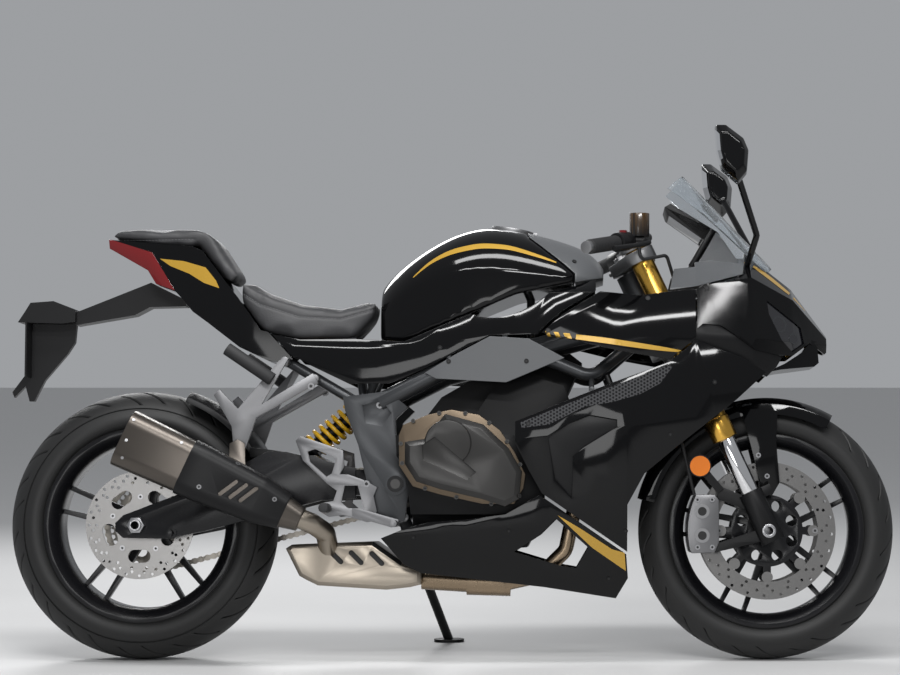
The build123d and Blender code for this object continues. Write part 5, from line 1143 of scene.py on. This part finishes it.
reflectorSettings = {
    "place": (1302, 450), "y": 112, "foot": (1350, 392), "strap": 9, "strapDepth": (7, 3), "radius": 26,
    "height": 7.0, "metal": "satinBlack", "recess": "reflectorAmber", "sides": 36, "socket": 0.9,
    "socketSides": 36,
}


def addPrism(bm, outline, low, high):
    lower = [bm.verts.new(rowPoint(x, low, z)) for x, z in outline]
    upper = [bm.verts.new(rowPoint(x, high, z)) for x, z in outline]
    count = len(outline)
    bm.faces.new(lower)
    bm.faces.new(upper[::-1])
    for n in range(count):
        bm.faces.new((lower[n], upper[n], upper[(n + 1) % count], lower[(n + 1) % count]))


# A round reflector at each side of the fork, on a strap.
def addReflectors():
    rows = []
    straps = bmesh.new()
    x, z = reflectorSettings["place"]
    footX, footZ = reflectorSettings["foot"]
    run = Vector((footX - x, footZ - z)).normalized() * reflectorSettings["strap"]
    outline = [
        (x - run.y, z + run.x), (x + run.y, z - run.x),
        (footX + run.y, footZ - run.x), (footX - run.y, footZ + run.x),
    ]
    for side in (-1, 1):
        y = side * reflectorSettings["y"]
        rows.append((rowPoint(x, y, z), rowTurn(0, side, 0)))
        addPrism(straps, outline, *(y - side * depth for depth in reflectorSettings["strapDepth"]))
    bmesh.ops.recalc_face_normals(straps, faces=straps.faces[:])
    plainObject("reflectorStraps", meshFrom(straps, "reflectorStraps"), "satinBlack", "steering")
    heads("reflectors", "steering", rows, reflectorSettings)


addReflectors()

gripSettings = {
    "outer": (1044.0, 348, 938.0), "inner": (1182.0, 118, 982.0), "length": 122, "ribs": 17, "radius": 17.0,
    "height": 3.4, "metal": "gripRubber", "recess": "gripRubber", "sides": 24,
}


# Ribs around the grips, one ring after another from the bar's end.
def addGripRibs():
    ends = (gripSettings["outer"], gripSettings["inner"])
    rows = []
    for side in (-1, 1):
        outer, inner = (Vector((x, side * y, z)) for x, y, z in ends)
        stop = outer + (inner - outer).normalized() * gripSettings["length"]
        start = rowPoint(*outer)
        step = (rowPoint(*stop) - start) / (gripSettings["ribs"] + 1)
        rows += [(start + step * (n + 1), step.normalized()) for n in range(gripSettings["ribs"])]
    heads("gripRibs", "steering", rows, gripSettings)


addGripRibs()

chainSettings = {
    "pitch": 15.875, "teeth": (43, 15), "front": (655, 412), "y": 107, "height": 14.6, "gap": 4.8,
    "plate": 1.2, "roller": 5.0, "arcSteps": 200,
}
linkSettings = {
    "eyeSides": 10, "waist": 0.7, "pinPlates": 5.6, "rollerSides": 8, "innerLayer": 0.5, "outerLayer": 1.6,
}


# Points of the chain's pitch line, one pitch apart.
def chainPoints():
    half = chainSettings["pitch"] / 2
    rear, front = (half / math.sin(math.pi / teeth) for teeth in chainSettings["teeth"])
    low = Vector((0.0, stance["rearAxle"]))
    high = Vector(chainSettings["front"])
    tilt = math.atan2(high.y - low.y, high.x - low.x)
    spread = math.acos((rear - front) / (high - low).length)
    steps = chainSettings["arcSteps"]
    arcs = ((low, rear, tilt + spread, 2 * math.pi - 2 * spread), (high, front, tilt - spread, 2 * spread))
    line = []
    for centre, radius, first, sweep in arcs:
        for n in range(steps + 1):
            angle = first + sweep * n / steps
            line.append(centre + Vector((math.cos(angle), math.sin(angle))) * radius)
    line.append(line[0])
    lengths = [0.0]
    for first, second in zip(line, line[1:]):
        lengths.append(lengths[-1] + (second - first).length)
    count = int(round(lengths[-1] / chainSettings["pitch"] / 2)) * 2
    points, place = [], 0
    for n in range(count):
        target = lengths[-1] * n / count
        while lengths[place + 1] < target:
            place += 1
        share = (target - lengths[place]) / (lengths[place + 1] - lengths[place])
        points.append(line[place].lerp(line[place + 1], share))
    return points


# Links along the pitch line: outer and inner plates by turns, each with a roller at its first pin.
def makeLinks():
    inputs = [
        ("Geometry", "NodeSocketGeometry", None),
        ("Pitch", "NodeSocketFloat", 0.0159),
        ("Height", "NodeSocketFloat", 0.0146),
        ("Gap", "NodeSocketFloat", 0.0048),
        ("Plate", "NodeSocketFloat", 0.0012),
        ("Roller", "NodeSocketFloat", 0.005),
        ("Across", "NodeSocketVector", (0.0, 1.0, 0.0)),
        ("Metal", "NodeSocketMaterial", None),
    ]
    outputs = [("Geometry", "NodeSocketGeometry")]
    tree, start, end = newGroup("chainLinks", inputs, outputs, "GeometryNodeTree")
    given = start.outputs

    def shifted(geometry, x=0.0, z=0.0):
        offset = addNode(tree, "ShaderNodeCombineXYZ", {"X": x, "Z": z})
        moves = {"Geometry": geometry, "Translation": offset.outputs["Vector"]}
        return addNode(tree, "GeometryNodeTransform", moves).outputs["Geometry"]

    def times(socket, factor):
        return mathNode(tree, "MULTIPLY", socket, factor)

    backPitch = times(given["Pitch"], -0.5)
    eyeSizes = {
        "Vertices": linkSettings["eyeSides"], "Radius": times(given["Height"], 0.5), "Depth": given["Plate"],
    }
    eye = addNode(tree, "GeometryNodeMeshCylinder", eyeSizes).outputs["Mesh"]
    waistWidth = times(given["Height"], linkSettings["waist"])
    waistSizes = {"X": given["Pitch"], "Y": waistWidth, "Z": given["Plate"]}
    waistSize = addNode(tree, "ShaderNodeCombineXYZ", waistSizes)
    waist = addNode(tree, "GeometryNodeMeshCube", {"Size": waistSize.outputs["Vector"]}).outputs["Mesh"]
    plate = joined(tree, shifted(eye, times(given["Pitch"], 0.5)), shifted(eye, backPitch), waist)
    plates = linkSettings["pinPlates"]
    pinLength = mathNode(tree, "MULTIPLY_ADD", given["Plate"], plates, times(given["Gap"], 2.0))
    rollerSizes = {"Vertices": linkSettings["rollerSides"], "Radius": given["Roller"], "Depth": pinLength}
    roller = shifted(addNode(tree, "GeometryNodeMeshCylinder", rollerSizes).outputs["Mesh"], backPitch)
    along = addNode(tree, "GeometryNodeInputNamedAttribute", {"Name": "along"}, data_type="FLOAT_VECTOR")
    outer = addNode(tree, "GeometryNodeInputNamedAttribute", {"Name": "outer"}, data_type="BOOLEAN")
    inner = addNode(tree, "FunctionNodeBooleanMath", {0: outer.outputs["Attribute"]}, operation="NOT")
    axes = {"Primary Axis": given["Across"], "Secondary Axis": along.outputs["Attribute"]}
    facing = addNode(tree, "FunctionNodeAxesToRotation", axes, primary_axis="Z", secondary_axis="X")
    points = addNode(tree, "GeometryNodeMeshToPoints", {"Mesh": given["Geometry"]})
    layers = (("innerLayer", inner.outputs[0]), ("outerLayer", outer.outputs["Attribute"]))
    kinds = []
    for layer, chosen in layers:
        out = mathNode(tree, "MULTIPLY_ADD", given["Plate"], linkSettings[layer], given["Gap"])
        pair = joined(tree, shifted(plate, z=out), shifted(plate, z=times(out, -1.0)), roller)
        rows = {
            "Points": points.outputs["Points"], "Selection": chosen, "Instance": pair,
            "Rotation": facing.outputs["Rotation"],
        }
        kinds.append(addNode(tree, "GeometryNodeInstanceOnPoints", rows).outputs["Instances"])
    real = addNode(tree, "GeometryNodeRealizeInstances", {"Geometry": joined(tree, *kinds)})
    coated = {"Geometry": real.outputs["Geometry"], "Material": given["Metal"]}
    metal = addNode(tree, "GeometryNodeSetMaterial", coated)
    feed(tree, end.inputs["Geometry"], metal.outputs["Geometry"])
    return tree


def buildChain():
    points = chainPoints()
    runs = [after - point for point, after in zip(points, points[1:] + points[:1])]
    middles = [point + run / 2 for point, run in zip(points, runs)]
    mesh = bpy.data.meshes.new("chain")
    mesh.from_pydata([tuple(rowPoint(x, chainSettings["y"], z)) for x, z in middles], [], [])
    along = mesh.attributes.new("along", "FLOAT_VECTOR", "POINT")
    outer = mesh.attributes.new("outer", "BOOLEAN", "POINT")
    for n, run in enumerate(runs):
        along.data[n].vector = rowTurn(run.x, 0, run.y)
        outer.data[n].value = n % 2 == 1
    work = workObject(mesh)
    maker = work.modifiers.new("links", "NODES")
    maker.node_group = makeLinks()
    labels = ("Pitch", "Height", "Gap", "Plate", "Roller")
    sizes = {label: chainSettings[label.lower()] / 1000 for label in labels}
    setInputs(maker, {**sizes, "Across": tuple(rowTurn(0, 1, 0)), "Metal": paint["chainSteel"]})
    work.update_tag()
    made = plainObject("chainLinks", baked(work), "chainSteel", "chassis")
    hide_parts("drive_chain")


buildChain()

print("camera, floor and light")
cameraSettings = {
    "place": (1028, 843), "distance": 6.5, "lens": 110.7, "sensor": 36.0, "shift": (-0.1467, -0.0417),
}
cameraData = bpy.data.cameras.new("camera")
cameraData.lens = cameraSettings["lens"]
cameraData.sensor_width = cameraSettings["sensor"]
cameraData.shift_x, cameraData.shift_y = cameraSettings["shift"]
camera = bpy.data.objects.new("camera", cameraData)
scene.collection.objects.link(camera)
camera.location = (
    cameraSettings["place"][0] / 1000 + bikeOrigin.x,
    bikeOrigin.y - cameraSettings["distance"],
    cameraSettings["place"][1] / 1000,
)
camera.rotation_euler = (math.radians(90), 0, 0)
scene.camera = camera

floorSettings = {"reach": 20, "color": (0.55, 0.55, 0.55), "roughness": 0.55}
makeMaterial("floorPale", floorSettings["color"], floorSettings["roughness"], bump=0.02, grainScale=8)
reach = floorSettings["reach"]
floorMesh = bpy.data.meshes.new("floor")
floorCorners = [(-reach, -reach, 0), (reach, -reach, 0), (reach, reach, 0), (-reach, reach, 0)]
floorMesh.from_pydata(floorCorners, [], [(0, 1, 2, 3)])
floorMesh.materials.append(paint["floorPale"])
floor = bpy.data.objects.new("floor", floorMesh)
scene.collection.objects.link(floor)

worldSettings = {"Color": (0.70, 0.72, 0.75, 1), "Strength": 0.48}
world = bpy.data.worlds.new("studio")
scene.world = world
world.use_nodes = True
for label, value in worldSettings.items():
    world.node_tree.nodes["Background"].inputs[label].default_value = value

lightSettings = {
    "overhead": {"place": (0.0, -1.2, 3.6), "target": (0, 0, 0.4), "size": (3.2, 0.45), "power": 95},
    "frontStrip": {"place": (0.9, -3.6, 2.9), "target": (0.1, 0, 0.6), "size": (2.6, 0.22), "power": 68},
    "highStrip": {"place": (-0.7, -2.6, 3.0), "target": (-0.3, 0, 0.8), "size": (1.8, 0.12), "power": 28},
    "lowFill": {"place": (-0.8, -4.6, 0.9), "target": (0.0, 0, 0.5), "size": (1.6, 1.0), "power": 25},
    "backStrip": {"place": (-1.0, 3.0, 2.2), "target": (0, 0, 0.6), "size": (2.4, 0.8), "power": 60},
}
for name, settings in lightSettings.items():
    lightData = bpy.data.lights.new(name, "AREA")
    lightData.shape = "RECTANGLE"
    lightData.size, lightData.size_y = settings["size"]
    lightData.energy = settings["power"]
    light = bpy.data.objects.new(name, lightData)
    scene.collection.objects.link(light)
    light.location = settings["place"]
    aim = Vector(settings["target"]) - Vector(settings["place"])
    light.rotation_euler = aim.to_track_quat("-Z", "Y").to_euler()

scene.view_settings.view_transform = "Standard"
